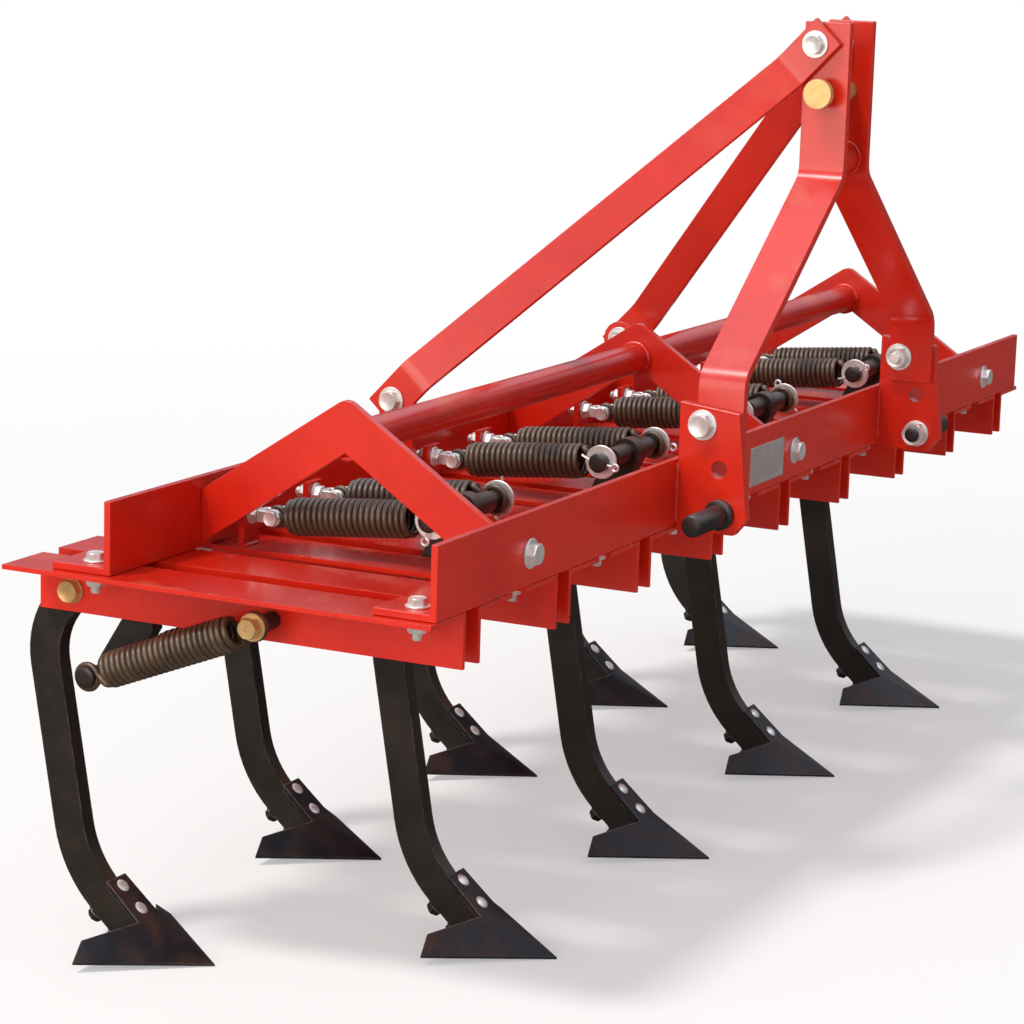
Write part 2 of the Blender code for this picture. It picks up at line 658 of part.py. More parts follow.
def shovel_mesh():
    """A sweep from its tip at (0, 0, 0): two wings from a nose ridge, and a neck plate that
    lies on the toe. Top points are listed on one side, and the other side mirrors them."""
    slope = math.tan(math.radians(TOE_ANGLE))
    upright = SHOVEL_WALL / math.cos(math.radians(TOE_ANGLE))
    seat_rise = (SHANK_DEPTH / 2 + SEAT) / math.cos(math.radians(TOE_ANGLE))

    def neck_up(back):
        return TOE_UP + (back - TOE_BACK) * slope + seat_rise + upright

    neck_start = TOE_BACK - SHANK_DEPTH / 2 * math.sin(math.radians(TOE_ANGLE)) - 0.006
    neck_end = neck_start + NECK_LENGTH * math.cos(math.radians(TOE_ANGLE))
    half = NECK_HALF_WIDTH
    wing_back = SHOVEL_SWEEP + WING_CHORD * 0.2
    top = {
        "tip": (0, 0, SHOVEL_EDGE),
        "ridge": (0, neck_start, neck_up(neck_start)),
        "shoulder": (half, neck_start, neck_up(neck_start)),
        "neck": (half * 0.9, neck_end, neck_up(neck_end)),
        "wing_end": (SHOVEL_HALF_WIDTH, SHOVEL_SWEEP, WING_END_UP + SHOVEL_EDGE),
        "wing_back": (SHOVEL_HALF_WIDTH - WING_CHORD, wing_back, WING_END_UP + upright + WING_CHORD * 0.5),
    }
    faces = [("tip", "wing_end", "wing_back"), ("tip", "wing_back", "shoulder"), ("tip", "shoulder", "ridge"),
             ("ridge", "shoulder", "neck")]
    bm = bmesh.new()
    made = {}

    def vertex(name, side, level):
        x, y, z = top[name]
        key = (name, side if x else 0, level)
        if key not in made:
            thickness = SHOVEL_EDGE if name in ("tip", "wing_end") else upright
            made[key] = bm.verts.new((side * x, y, z - level * thickness))
        return made[key]

    for side in (-1, 1):
        for level in (0, 1):
            for face in faces:
                bm.faces.new([vertex(n, side, level) for n in face])
        for one, two in (("tip", "wing_end"), ("wing_end", "wing_back"), ("wing_back", "shoulder"), ("shoulder", "neck")):
            bm.faces.new((vertex(one, side, 0), vertex(two, side, 0), vertex(two, side, 1), vertex(one, side, 1)))
    for level in (0, 1):
        bm.faces.new((vertex("ridge", 1, level), vertex("neck", 1, level), vertex("neck", -1, level)))
    bm.faces.new((vertex("neck", 1, 0), vertex("neck", -1, 0), vertex("neck", -1, 1), vertex("neck", 1, 1)))
    return solid(bm)


def make_tines():
    tines = {rear: tine_mesh(rear) for rear in (True, False)}
    shovel = shovel_mesh()
    for number in range(1, TINE_COUNT + 1):
        place = (tine_x(number), along(pivot_back(number)), height(-PIVOT_DROP))
        tine = finish(f"tine_{number}", tines[is_rear(number)], dark_steel(), place)
        tip_place = (0, -PIVOT_FROM_TIP.x, -PIVOT_FROM_TIP.y)
        finish(f"shovel_{number}", shovel, blued_steel(), tip_place, parent=tine)


def spring_mesh(pin, pin_radius, anchor, anchor_radius, radius):
    """A tension spring in the plane X = 0 from the tine's pin to the frame's anchor,
    each (back, up): a close-wound coil with a wire loop round each."""
    pin_place = Vector((0, along(pin[0]), height(pin[1])))
    anchor_place = Vector((0, along(anchor[0]), height(anchor[1])))
    way = (anchor_place - pin_place).normalized()
    span = (anchor_place - pin_place).length
    coil_start = COIL_INSET
    coil_end = span - COIL_INSET
    taper = radius * 0.35
    body = turned([(SPRING_WIRE, pin_radius + SEAT * 2 + SPRING_WIRE), (SPRING_WIRE, coil_start - taper),
                   (radius, coil_start), (radius, coil_end),
                   (SPRING_WIRE, coil_end + taper), (SPRING_WIRE, span - anchor_radius - SEAT * 2 - SPRING_WIRE)],
                  pin_place, way)
    rings = []
    for place, hold in ((pin_place, pin_radius), (anchor_place, anchor_radius)):
        rings.append(ring_x((place.y, place.z), hold + SEAT * 2 + SPRING_WIRE, SPRING_WIRE, 0))
    return combined(body, joined=rings)


def make_springs():
    rear_pin = (pivot_back(3) - LOW_PIN_AHEAD, -PIVOT_DROP - LOW_PIN_DOWN)
    front_pin = (pivot_back(2) - TOP_PIN_AHEAD, -PIVOT_DROP + TOP_PIN_UP)
    low = spring_mesh(rear_pin, LOW_PIN_RADIUS, (low_anchor_back(3), -LOW_ANCHOR_DROP), LOW_PIN_RADIUS,
                      LOW_SPRING_RADIUS)
    top = spring_mesh(front_pin, TOP_PIN_RADIUS, (TOP_ANCHOR_BACK, TOP_ANCHOR_UP), EYEBOLT_RADIUS,
                      TOP_SPRING_RADIUS)
    for number in range(1, TINE_COUNT + 1):
        mesh, offset = (low, LOW_SPRING_OFFSET) if is_rear(number) else (top, TOP_SPRING_OFFSET)
        for name, side in (("left", -1), ("right", 1)):
            place = (tine_x(number) + side * offset, row_shift(number), 0)
            finish(f"spring_{number}_{name}", mesh, spring_steel(), place)


def main():
    clear_scene()
    make_front_bar()
    make_rear_bar()
    make_holders()
    make_arches()
    make_pipe()
    make_hitch_plates()
    make_mast()
    make_stays()
    make_tines()
    make_springs()


main()
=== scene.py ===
# Dressing of the nine-tine spring cultivator: finishes, springs and fasteners round the frame.
# Metres, +Z up. The tractor stands on the -Y side and the bars run along X.
import json
import math

import bpy
import numpy as np
from mathutils import Matrix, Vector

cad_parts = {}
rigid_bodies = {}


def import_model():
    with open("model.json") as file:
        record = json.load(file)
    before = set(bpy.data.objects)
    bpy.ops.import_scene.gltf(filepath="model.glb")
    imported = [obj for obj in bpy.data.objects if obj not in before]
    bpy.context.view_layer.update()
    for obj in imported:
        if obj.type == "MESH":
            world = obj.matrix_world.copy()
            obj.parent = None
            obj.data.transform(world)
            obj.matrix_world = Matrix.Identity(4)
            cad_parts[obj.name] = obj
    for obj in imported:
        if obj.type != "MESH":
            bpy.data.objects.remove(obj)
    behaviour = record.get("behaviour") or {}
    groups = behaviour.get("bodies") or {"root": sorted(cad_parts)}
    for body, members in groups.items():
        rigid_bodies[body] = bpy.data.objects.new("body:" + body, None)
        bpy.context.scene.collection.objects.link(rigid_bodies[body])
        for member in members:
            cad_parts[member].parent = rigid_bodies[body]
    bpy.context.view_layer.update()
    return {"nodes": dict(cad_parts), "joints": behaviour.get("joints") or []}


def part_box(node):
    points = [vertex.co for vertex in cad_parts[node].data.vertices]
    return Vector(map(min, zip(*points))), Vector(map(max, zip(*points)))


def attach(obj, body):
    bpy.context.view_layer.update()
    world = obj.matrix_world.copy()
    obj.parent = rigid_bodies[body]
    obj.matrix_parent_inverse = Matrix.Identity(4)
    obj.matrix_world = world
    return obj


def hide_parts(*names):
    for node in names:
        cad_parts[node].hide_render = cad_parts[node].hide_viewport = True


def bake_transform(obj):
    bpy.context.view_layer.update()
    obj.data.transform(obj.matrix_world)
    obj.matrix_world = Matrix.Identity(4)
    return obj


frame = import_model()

print("stage: frame loaded")

# Places read from the frame. A joint's place is its tine's pivot, a spring's fixed end its anchor.
jointByBody = {joint["child"]: joint for joint in frame["joints"]}
tineNumbers = range(1, len(jointByBody) + 1)
rearTines, frontTines = tineNumbers[::2], tineNumbers[1::2]
barLow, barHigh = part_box("front_bar")
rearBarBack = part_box("rear_bar")[1].y - barHigh.y
upWay, frontWay, backWay = np.array([0, 0, 1.0]), np.array([0, -1.0, 0]), np.array([0, 1.0, 0])
leftWay, rightWay = np.array([-1.0, 0, 0]), np.array([1.0, 0, 0])


def tineBody(number):
    return "tine_%d_body" % number


frameBodyName = jointByBody[tineBody(1)]["parent"]


def pivotOf(number):  # middle of the tine's pivot bolt
    return np.array(jointByBody[tineBody(number)]["pos_m"])


def anchorOf(number):  # middle of the two springs' fixed ends
    springs = jointByBody[tineBody(number)]["deforming_nodes"]
    return np.mean([spring["fixed_end_m"] for spring in springs], axis=0)


def springOffset(number):  # how far the springs lie to each side of their tine
    fixed = jointByBody[tineBody(number)]["deforming_nodes"][0]["fixed_end_m"]
    return abs(fixed[0] - pivotOf(number)[0])


def barPlace(across, back, up):
    # across from the middle, back from the front bar's face, up from the bars' underside
    return np.array([across, barLow.y + back, barLow.z + up])


# Surfaces as arrays. A patch is (points, [quads, triangles]), and a piece is several patches joined.
def unit(vectors):  # each row divided by its length
    return vectors / np.linalg.norm(vectors, axis=-1, keepdims=True)


def smoothStep(share):  # 3 t^2 - 2 t^3 on t held between 0 and 1
    share = np.clip(share, 0.0, 1.0)
    return share * share * (3.0 - 2.0 * share)


def patchOf(grid, wrapRows=False):
    # corner (i, j) joins (i, j+1), (i+1, j+1), (i+1, j), with j and, if asked, i taken round;
    # an open end is closed by a fan about its middle
    rows, columns = grid.shape[:2]
    i, j = np.meshgrid(np.arange(rows if wrapRows else rows - 1), np.arange(columns), indexing="ij")
    nextI, nextJ = (i + 1) % rows, (j + 1) % columns
    quads = np.stack([i * columns + j, i * columns + nextJ, nextI * columns + nextJ, nextI * columns + j],
                     axis=-1).reshape(-1, 4)
    points = grid.reshape(-1, 3)
    if wrapRows:
        return points, [quads, np.zeros((0, 3), int)]
    ring = np.arange(columns)
    after = (ring + 1) % columns
    total, lastRow = rows * columns, (rows - 1) * columns
    points = np.vstack([points, grid[0].mean(axis=0), grid[-1].mean(axis=0)])
    fans = np.vstack([np.stack([after, ring, np.full(columns, total)], axis=1),
                      np.stack([lastRow + ring, lastRow + after, np.full(columns, total + 1)], axis=1)])
    return points, [quads, fans]


def joinPatches(patches):
    # points stacked, each patch's indices raised by the number of points before it
    counts = np.cumsum([0] + [len(points) for points, faces in patches])
    points = np.vstack([points for points, faces in patches])
    faces = [np.vstack([patch[1][kind] + start for patch, start in zip(patches, counts)]) for kind in (0, 1)]
    return points, faces


def shifted(patch, offset):
    points, faces = patch
    return points + offset, faces


def withMirrored(patches):
    # and their twins: x becomes -x, and each face is read backwards so that it still points out
    flip = np.array([-1.0, 1.0, 1.0])
    return patches + [(points * flip, [kind[:, ::-1] for kind in faces]) for points, faces in patches]


def addObject(name, data):
    thing = bpy.data.objects.new(name, data)
    bpy.context.scene.collection.objects.link(thing)
    return thing


def makePiece(name, patches, finish, body=frameBodyName, smoothAngle=38.0):
    # one mesh of all its patches, smooth but for edges over smoothAngle degrees
    points, (quads, fans) = joinPatches(patches)
    mesh = bpy.data.meshes.new(name)
    corners = np.concatenate([quads.ravel(), fans.ravel()]).astype(np.int32)
    sizes = np.concatenate([np.full(len(quads), 4), np.full(len(fans), 3)])
    mesh.vertices.add(len(points))
    mesh.vertices.foreach_set("co", points.astype(np.float32).ravel())
    mesh.loops.add(len(corners))
    mesh.loops.foreach_set("vertex_index", corners)
    mesh.polygons.add(len(sizes))
    mesh.polygons.foreach_set("loop_start", (np.cumsum(sizes) - sizes).astype(np.int32))
    mesh.update(calc_edges=True)
    mesh.shade_smooth()
    mesh.set_sharp_from_angle(angle=math.radians(smoothAngle))
    mesh.materials.append(finishOf[finish])
    piece = addObject(name, mesh)
    if body:
        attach(piece, body)
    return piece


def circleSection(radius, sides):  # radius * (cos t, sin t)
    turn = np.linspace(0, 2 * np.pi, sides, endpoint=False)
    return radius * np.stack([np.cos(turn), np.sin(turn)], axis=1)


def sweep(path, guide, section, closed=False):
    # grid point = path + a * normal + b * (direction x normal), where the normal is the guide
    # less its share along the path; section may have its own shape at every path point
    if closed:
        direction = unit(np.roll(path, -1, axis=0) - np.roll(path, 1, axis=0))
    else:
        direction = unit(np.gradient(path, axis=0))
    normal = unit(guide - (guide * direction).sum(axis=1, keepdims=True) * direction)
    across = np.cross(direction, normal)
    if section.ndim == 2:
        section = np.broadcast_to(section, (len(path),) + section.shape)
    grid = path[:, None] + section[..., 0:1] * normal[:, None] + section[..., 1:2] * across[:, None]
    return patchOf(grid, wrapRows=closed)


def squareTo(way):
    # two unit directions square to way and each other: an axis less its share along way, and their cross
    helper = backWay if abs(way[0]) > 0.9 else rightWay
    one = unit(helper - way * (helper @ way))
    return one, np.cross(way, one)


def lathe(profile, start, way, sides=28, corners=0):
    # point = start + z way + r (cos t one + sin t two); with corners, r is held under a regular
    # polygon's edge, apothem / cos(angle from the middle of its side)
    profile = np.asarray(profile, float)
    way = unit(way)
    one, two = squareTo(way)
    turn = np.linspace(0, 2 * np.pi, sides, endpoint=False)
    radius = np.repeat(profile[:, 0:1], sides, axis=1)
    if corners:
        step = 2 * np.pi / corners
        fromMiddle = np.abs(turn % step - step / 2)
        radius = np.minimum(radius, profile[:, 0].max() * math.cos(step / 2) / np.cos(fromMiddle))
    ring = np.cos(turn)[:, None] * one + np.sin(turn)[:, None] * two
    return patchOf(start + profile[:, 1][:, None, None] * way + radius[..., None] * ring)


print("stage: tools ready")


# Shader groups: each gives a colour, mask, value or normal, and is placed in several finishes.
def setInputs(tree, node, links):  # inputs by name or number, each as a value or a socket
    for key, value in links.items():
        socket = node.inputs[key]
        if isinstance(value, bpy.types.NodeSocket):
            tree.links.new(value, socket)
        else:
            socket.default_value = value


def addNode(tree, kind, links=None, **settings):  # settings are the node's properties
    node = tree.nodes.new(kind)
    for key, value in settings.items():
        setattr(node, key, value)
    setInputs(tree, node, links or {})
    return node


def placeGroup(tree, group, look, **sockets):
    # each input takes the socket of its name, or else the look's value of that name
    given = {**look, **sockets}
    links = {item.name: given[item.name] for item in group.interface.items_tree if item.in_out == "INPUT"}
    return addNode(tree, "ShaderNodeGroup", links, node_tree=group).outputs


def mathNode(tree, operation, first, second, clamp=False):
    links = {0: first, 1: second}
    return addNode(tree, "ShaderNodeMath", links, operation=operation, use_clamp=clamp).outputs[0]


def product(tree, first, second, clamp=False):
    return mathNode(tree, "MULTIPLY", first, second, clamp)


def mixColour(tree, share, first, second):
    return addNode(tree, "ShaderNodeMix", {0: share, 6: first, 7: second}, data_type="RGBA").outputs[2]


def mixValue(tree, share, first, second):
    return addNode(tree, "ShaderNodeMix", {0: share, 2: first, 3: second}).outputs[0]


def ramped(tree, value, low, high):  # 0 below low, 1 above high, straight between
    links = {"Value": value, "From Min": low, "From Max": high}
    return addNode(tree, "ShaderNodeMapRange", links, clamp=True).outputs["Result"]


def noiseOf(tree, place, scale, detail, roughness=0.5):
    links = {"Vector": place, "Scale": scale, "Detail": detail, "Roughness": roughness}
    return addNode(tree, "ShaderNodeTexNoise", links).outputs["Fac"]


def newGroup(name, inputs, outputs):  # inputs and outputs map sockets' names to their kinds
    group = bpy.data.node_groups.new(name, "ShaderNodeTree")
    for way, sockets in (("INPUT", inputs), ("OUTPUT", outputs)):
        for socketName, kind in sockets.items():
            group.interface.new_socket(socketName, in_out=way, socket_type="NodeSocket" + kind)
    return group, group.nodes.new("NodeGroupInput").outputs, group.nodes.new("NodeGroupOutput")


# What all finishes share: which turn of the normal is an edge, how dust lies, how the noises mix
effects = dict(bevelSamples=4, edgeFrom=0.01, edgeTo=0.12, wearFrom=0.85, wearTo=1.0, dustUpFrom=0.03,
               dustUpTo=0.95, dustBand=0.26, grainFiner=22.0, grainFrom=0.2, grainTo=0.8, grainLeast=0.55,
               dustRoughness=0.85, speckFiner=9.0, cloudShare=0.75, waveCoarser=0.12, waveHigher=2.0)


def makeEdgeWearGroup():
    # mask = ramp(1 - rounded normal . true normal) * broken noise: 1 on worn edges
    group, given, out = newGroup("edgeWear", dict(place="Vector", wearRadius="Float", wear="Float",
                                                  wearScale="Float"), dict(mask="Float"))
    rounded = addNode(group, "ShaderNodeBevel", {"Radius": given["wearRadius"]},
                      samples=effects["bevelSamples"]).outputs["Normal"]
    trueNormal = addNode(group, "ShaderNodeNewGeometry").outputs["Normal"]
    facing = addNode(group, "ShaderNodeVectorMath", {0: rounded, 1: trueNormal}, operation="DOT_PRODUCT")
    turned = mathNode(group, "SUBTRACT", 1.0, facing.outputs["Value"])
    edge = ramped(group, turned, effects["edgeFrom"], effects["edgeTo"])
    broken = noiseOf(group, given["place"], given["wearScale"], detail=4.0, roughness=0.7)
    raised = mathNode(group, "ADD", broken, given["wear"])
    reach = ramped(group, raised, effects["wearFrom"], effects["wearTo"])
    setInputs(group, out, {"mask": product(group, edge, reach)})
    return group


def makeDustGroup():
    # share = ramp(normal.z) * ramp(noise over dustFrom): dust lies on what faces up, in drifts
    group, given, out = newGroup("dustFilm", dict(place="Vector", colour="Color", rough="Float",
                                                  dust="Color", dustAmount="Float", dustScale="Float",
                                                  dustFrom="Float"), dict(colour="Color", rough="Float"))
    normal = addNode(group, "ShaderNodeNewGeometry").outputs["Normal"]
    up = addNode(group, "ShaderNodeSeparateXYZ", {0: normal}).outputs["Z"]
    lying = ramped(group, up, effects["dustUpFrom"], effects["dustUpTo"])
    full = mathNode(group, "ADD", given["dustFrom"], effects["dustBand"])
    drift = noiseOf(group, given["place"], given["dustScale"], detail=3.0)
    drift = ramped(group, drift, given["dustFrom"], full)
    grainScale = product(group, given["dustScale"], effects["grainFiner"])
    grain = noiseOf(group, given["place"], grainScale, detail=2.0, roughness=0.55)
    grain = ramped(group, grain, effects["grainFrom"], effects["grainTo"])
    grain = mathNode(group, "ADD", effects["grainLeast"], grain)
    share = product(group, product(group, lying, drift), given["dustAmount"])
    share = product(group, share, grain, clamp=True)
    setInputs(group, out, {"colour": mixColour(group, share, given["colour"], given["dust"]),
                           "rough": mixValue(group, share, given["rough"], effects["dustRoughness"])})
    return group


def makeBlotchGroup():
    # colour = first to second by a ramp of two noises: slow clouds broken by fine specks
    group, given, out = newGroup("blotches", dict(place="Vector", first="Color", second="Color",
                                                  scale="Float", spread="Float", sharpness="Float"),
                                 dict(colour="Color"))
    cloud = noiseOf(group, given["place"], given["scale"], detail=5.0, roughness=0.6)
    speckScale = product(group, given["scale"], effects["speckFiner"])
    speck = noiseOf(group, given["place"], speckScale, detail=3.0, roughness=0.6)
    level = mathNode(group, "ADD", product(group, cloud, effects["cloudShare"]),
                     product(group, speck, 1 - effects["cloudShare"]))
    low, high = (mathNode(group, operation, given["spread"], given["sharpness"])
                 for operation in ("SUBTRACT", "ADD"))
    mask = ramped(group, level, low, high)
    setInputs(group, out, {"colour": mixColour(group, mask, given["first"], given["second"])})
    return group


def makeSkinGroup():
    # height = waviness of sprayed or scaled metal: coarse noise + fine noise, as a bumped normal
    group, given, out = newGroup("surfaceSkin", dict(place="Vector", skinScale="Float",
                                                     skinStrength="Float", skinDepth="Float"),
                                 dict(normal="Vector"))
    fine = noiseOf(group, given["place"], given["skinScale"], detail=2.0)
    waveScale = product(group, given["skinScale"], effects["waveCoarser"])
    coarse = noiseOf(group, given["place"], waveScale, detail=3.0)
    level = mathNode(group, "ADD", fine, product(group, coarse, effects["waveHigher"]))
    bump = addNode(group, "ShaderNodeBump", {"Strength": given["skinStrength"],
                                             "Distance": given["skinDepth"], "Height": level})
    setInputs(group, out, {"normal": bump.outputs["Normal"]})
    return group


edgeWear, dustFilm = makeEdgeWearGroup(), makeDustGroup()
blotches, surfaceSkin = makeBlotchGroup(), makeSkinGroup()


def rgb(red, green, blue):
    # a colour as it looks on screen, 0 to 255, turned to the linear values that shaders take
    screen = np.array([red, green, blue]) / 255.0
    linear = np.where(screen <= 0.04045, screen / 12.92, ((screen + 0.055) / 1.055) ** 2.4)
    return (*(float(value) for value in linear), 1.0)


# Finishes: each has colours and amounts, laid over those of plainFinish, and most have a slot's name. The
# chain is the same in all: blotches of first and second, worn edges of bare, dust, and the skin's waviness.
# Their names are those of the groups' inputs.
plainFinish = dict(spread=0.5, sharpness=0.16, metallic=0.0, specular=0.5, coat=0.0, coatRoughness=0.2,
                   wearRadius=0.0008, wear=0.5, wearScale=160.0, dustAmount=0.30, dustFrom=0.42,
                   dustScale=45.0, skinScale=500.0, skinStrength=0.10, skinDepth=0.0002)
finishes = dict(
    redEnamel=dict(slot="red_paint", first=rgb(214, 38, 13), second=rgb(192, 28, 12), scale=5.0, spread=0.52,
                   roughness=0.27, coat=0.15, coatRoughness=0.12, bare=rgb(120, 22, 16), bareRoughness=0.5,
                   wearRadius=0.0015, wear=0.30, wearScale=70.0, dust=rgb(198, 146, 108), dustAmount=0.42,
                   dustFrom=0.55, dustScale=11.0, skinScale=260.0, skinDepth=0.0005),
    tineLacquer=dict(slot="dark_steel", first=rgb(44, 36, 29), second=rgb(28, 24, 21), scale=14.0,
                     sharpness=0.14, roughness=0.38, specular=0.35, coat=0.05, coatRoughness=0.25,
                     bare=rgb(96, 76, 62), bareRoughness=0.45, wearRadius=0.0025, wear=0.42, wearScale=55.0,
                     dust=rgb(118, 92, 70), dustScale=15.0, skinScale=190.0, skinStrength=0.18,
                     skinDepth=0.0006),
    sweepSteel=dict(first=rgb(24, 26, 31), second=rgb(58, 38, 29), scale=11.0, spread=0.60, sharpness=0.10,
                    roughness=0.44, metallic=0.1, specular=0.22, bare=rgb(124, 108, 104),
                    bareRoughness=0.32, wearRadius=0.0020, wear=0.48, wearScale=80.0, dust=rgb(92, 64, 48),
                    dustAmount=0.24, dustScale=22.0, skinScale=230.0, skinStrength=0.25, skinDepth=0.0006),
    springWire=dict(slot="spring_steel", first=rgb(66, 53, 42), second=rgb(94, 74, 55), scale=26.0,
                    spread=0.52, sharpness=0.14, roughness=0.36, metallic=0.25, coat=0.15,
                    bare=rgb(110, 96, 84), bareRoughness=0.35, wearRadius=0.001, wear=0.2, wearScale=90.0,
                    dust=rgb(128, 100, 76), dustScale=30.0, skinScale=420.0, skinStrength=0.12,
                    skinDepth=0.0003),
    zincPlate=dict(slot="zinc", first=rgb(240, 238, 236), second=rgb(206, 203, 198), scale=40.0,
                   roughness=0.33, metallic=0.55, bare=rgb(226, 226, 222), bareRoughness=0.22,
                   dust=rgb(140, 118, 96)),
    goldZinc=dict(slot="zinc", first=rgb(226, 190, 128), second=rgb(192, 150, 92), scale=45.0,
                  sharpness=0.18, roughness=0.32, metallic=0.5, bare=rgb(226, 200, 150),
                  bareRoughness=0.22, dust=rgb(120, 92, 66)),
    pinSteel=dict(slot="dark_steel", first=rgb(66, 62, 62), second=rgb(48, 44, 44), scale=30.0,
                  roughness=0.34, metallic=0.6, bare=rgb(140, 134, 130), bareRoughness=0.28,
                  wearRadius=0.0015, wear=0.45, wearScale=100.0, dust=rgb(120, 98, 80), dustAmount=0.25,
                  dustScale=30.0, skinScale=400.0, skinStrength=0.12, skinDepth=0.0003),
    plateAluminium=dict(slot="zinc", first=rgb(206, 200, 196), second=rgb(184, 176, 172), scale=24.0,
                        sharpness=0.2, roughness=0.38, metallic=0.55, bare=rgb(232, 230, 226),
                        bareRoughness=0.25, wearRadius=0.0006, wear=0.4, wearScale=200.0,
                        dust=rgb(160, 140, 120), dustAmount=0.15, dustScale=40.0, skinScale=600.0,
                        skinStrength=0.06),
)


def newMaterial(name):
    material = bpy.data.materials.new(name)
    material.use_nodes = True
    return material, material.node_tree, material.node_tree.nodes["Principled BSDF"]


def makeFinish(name):
    look = {**plainFinish, **finishes[name]}
    material, tree, shader = newMaterial(name)
    place = addNode(tree, "ShaderNodeTexCoord").outputs["Object"]
    base = placeGroup(tree, blotches, look, place=place)["colour"]
    worn = placeGroup(tree, edgeWear, look, place=place)["mask"]
    colour = mixColour(tree, worn, base, look["bare"])
    rough = mixValue(tree, worn, look["roughness"], look["bareRoughness"])
    dusty = placeGroup(tree, dustFilm, look, place=place, colour=colour, rough=rough)
    skin = placeGroup(tree, surfaceSkin, look, place=place)["normal"]
    setInputs(tree, shader, {"Base Color": dusty["colour"], "Roughness": dusty["rough"], "Normal": skin,
                             "Metallic": look["metallic"], "Specular IOR Level": look["specular"],
                             "Coat Weight": look["coat"], "Coat Roughness": look["coatRoughness"]})
    return material


finishOf = {name: makeFinish(name) for name in finishes}
print("stage: finishes mixed")


# Frame nodes: welded, flat faces merged, round ones shaded smooth and every edge broken
edgeBreak = dict(weldDistance=0.00001, flatAngle=0.6, sharpAngle=36.0, segments=2)
nodeFinishes = [
    # starts of the nodes' names, finish, width of the broken edges
    (("tine_holder", "front_bar", "rear_bar", "arch", "brace_pipe", "hitch_plate", "mast", "stay"),
     "redEnamel", 0.0012),
    (("top_link_pin",), "goldZinc", 0.0012), (("tine",), "tineLacquer", 0.0030),
    (("shovel",), "sweepSteel", 0.0010),
]


def makeShadingGroup():
    # drops the imported normals, shades every face smooth and keeps edges over sharpAngle sharp
    group = bpy.data.node_groups.new("roundShading", "GeometryNodeTree")
    for way in ("INPUT", "OUTPUT"):
        group.interface.new_socket("Geometry", in_out=way, socket_type="NodeSocketGeometry")
    given = group.nodes.new("NodeGroupInput").outputs[0]
    bare = addNode(group, "GeometryNodeRemoveAttribute", {"Geometry": given, "Name": "custom_normal"})
    angle = addNode(group, "GeometryNodeInputMeshEdgeAngle").outputs["Unsigned Angle"]
    steep = addNode(group, "FunctionNodeCompare", {0: angle, 1: math.radians(edgeBreak["sharpAngle"])},
                    data_type="FLOAT", operation="LESS_EQUAL").outputs[0]
    shaded = bare.outputs[0]
    for domain, smooth in (("FACE", True), ("EDGE", steep)):
        shaded = addNode(group, "GeometryNodeSetShadeSmooth", {"Geometry": shaded, "Shade Smooth": smooth},
                         domain=domain).outputs[0]
    group.links.new(shaded, group.nodes.new("NodeGroupOutput").inputs[0])
    return group


roundShading = makeShadingGroup()


def dressNode(node, finish, width):
    for slot in node.material_slots:
        slot.material = finishOf[finish]
    weld = node.modifiers.new("weld", "WELD")
    weld.merge_threshold = edgeBreak["weldDistance"]
    flat = node.modifiers.new("mergeFlats", "DECIMATE")
    flat.decimate_type = "DISSOLVE"
    flat.angle_limit = math.radians(edgeBreak["flatAngle"])
    shading = node.modifiers.new("shading", "NODES")
    shading.node_group = roundShading
    bevel = node.modifiers.new("brokenEdges", "BEVEL")
    bevel.width = width
    bevel.segments = edgeBreak["segments"]
    bevel.limit_method = "ANGLE"
    bevel.angle_limit = math.radians(edgeBreak["sharpAngle"])
    bevel.harden_normals = True


for nodeName, node in frame["nodes"].items():
    for starts, finish, width in nodeFinishes:
        if nodeName.startswith(starts):
            dressNode(node, finish, width)
            break
print("stage: frame nodes dressed")


# Springs: a close-wound coil between two wire loops, one path from loop to loop. A pin is (back, up)
# from the pivot, insets run from each end's pin to the coil, and bendFrom and bendTo are two shares of
# the way from anchor to pin.
springShape = dict(
    wire=0.0039, clearance=0.0006, wireSides=12, stepsPerTurn=26, turnPitch=1.005, endTaper=0.12,
    loopSteps=26, loopGap=math.radians(24), crossSteps=11, crossPull=1.1, smoothAngle=80.0,
    fromLoop=(0.35, 1.0, 0.0), throughCoil=(0.12, 0.0, 1.0), toLoop=(0.35, -1.0, 0.0),
    rear=dict(outer=0.0225, pin=(-0.050, -0.092), pinRadius=0.010, anchorRadius=0.010, pinInset=0.030,
              anchorInset=0.030, bendFrom=0.50, bendTo=0.96),
    front=dict(outer=0.024, pin=(-0.050, 0.102), pinRadius=0.011, anchorRadius=0.006, pinInset=0.028,
               anchorInset=0.020, bendFrom=0.74, bendTo=0.95),
)


def shapeOf(number):
    return springShape["rear" if number in rearTines else "front"]


def pinOf(number):  # middle of the pin by which the springs pull their tine
    return pivotOf(number) + np.array([0.0, *shapeOf(number)["pin"]])


def loopPath(radius, start, end):  # radius * (cos a, sin a, 0) for a from start to end
    angle = np.linspace(start, end, springShape["loopSteps"])
    return radius * np.stack([np.cos(angle), np.sin(angle), np.zeros_like(angle)], axis=1)


def crossing(first, firstWay, last, lastWay):
    # cubic curve through both ends: (2t^3-3t^2+1) p + (t^3-2t^2+t) v + (3t^2-2t^3) q + (t^3-t^2) w
    t = np.linspace(0, 1, springShape["crossSteps"])[1:-1, None]
    return ((2 * t**3 - 3 * t**2 + 1) * first + (t**3 - 2 * t**2 + t) * firstWay
            + (3 * t**2 - 2 * t**3) * last + (t**3 - t**2) * lastWay)


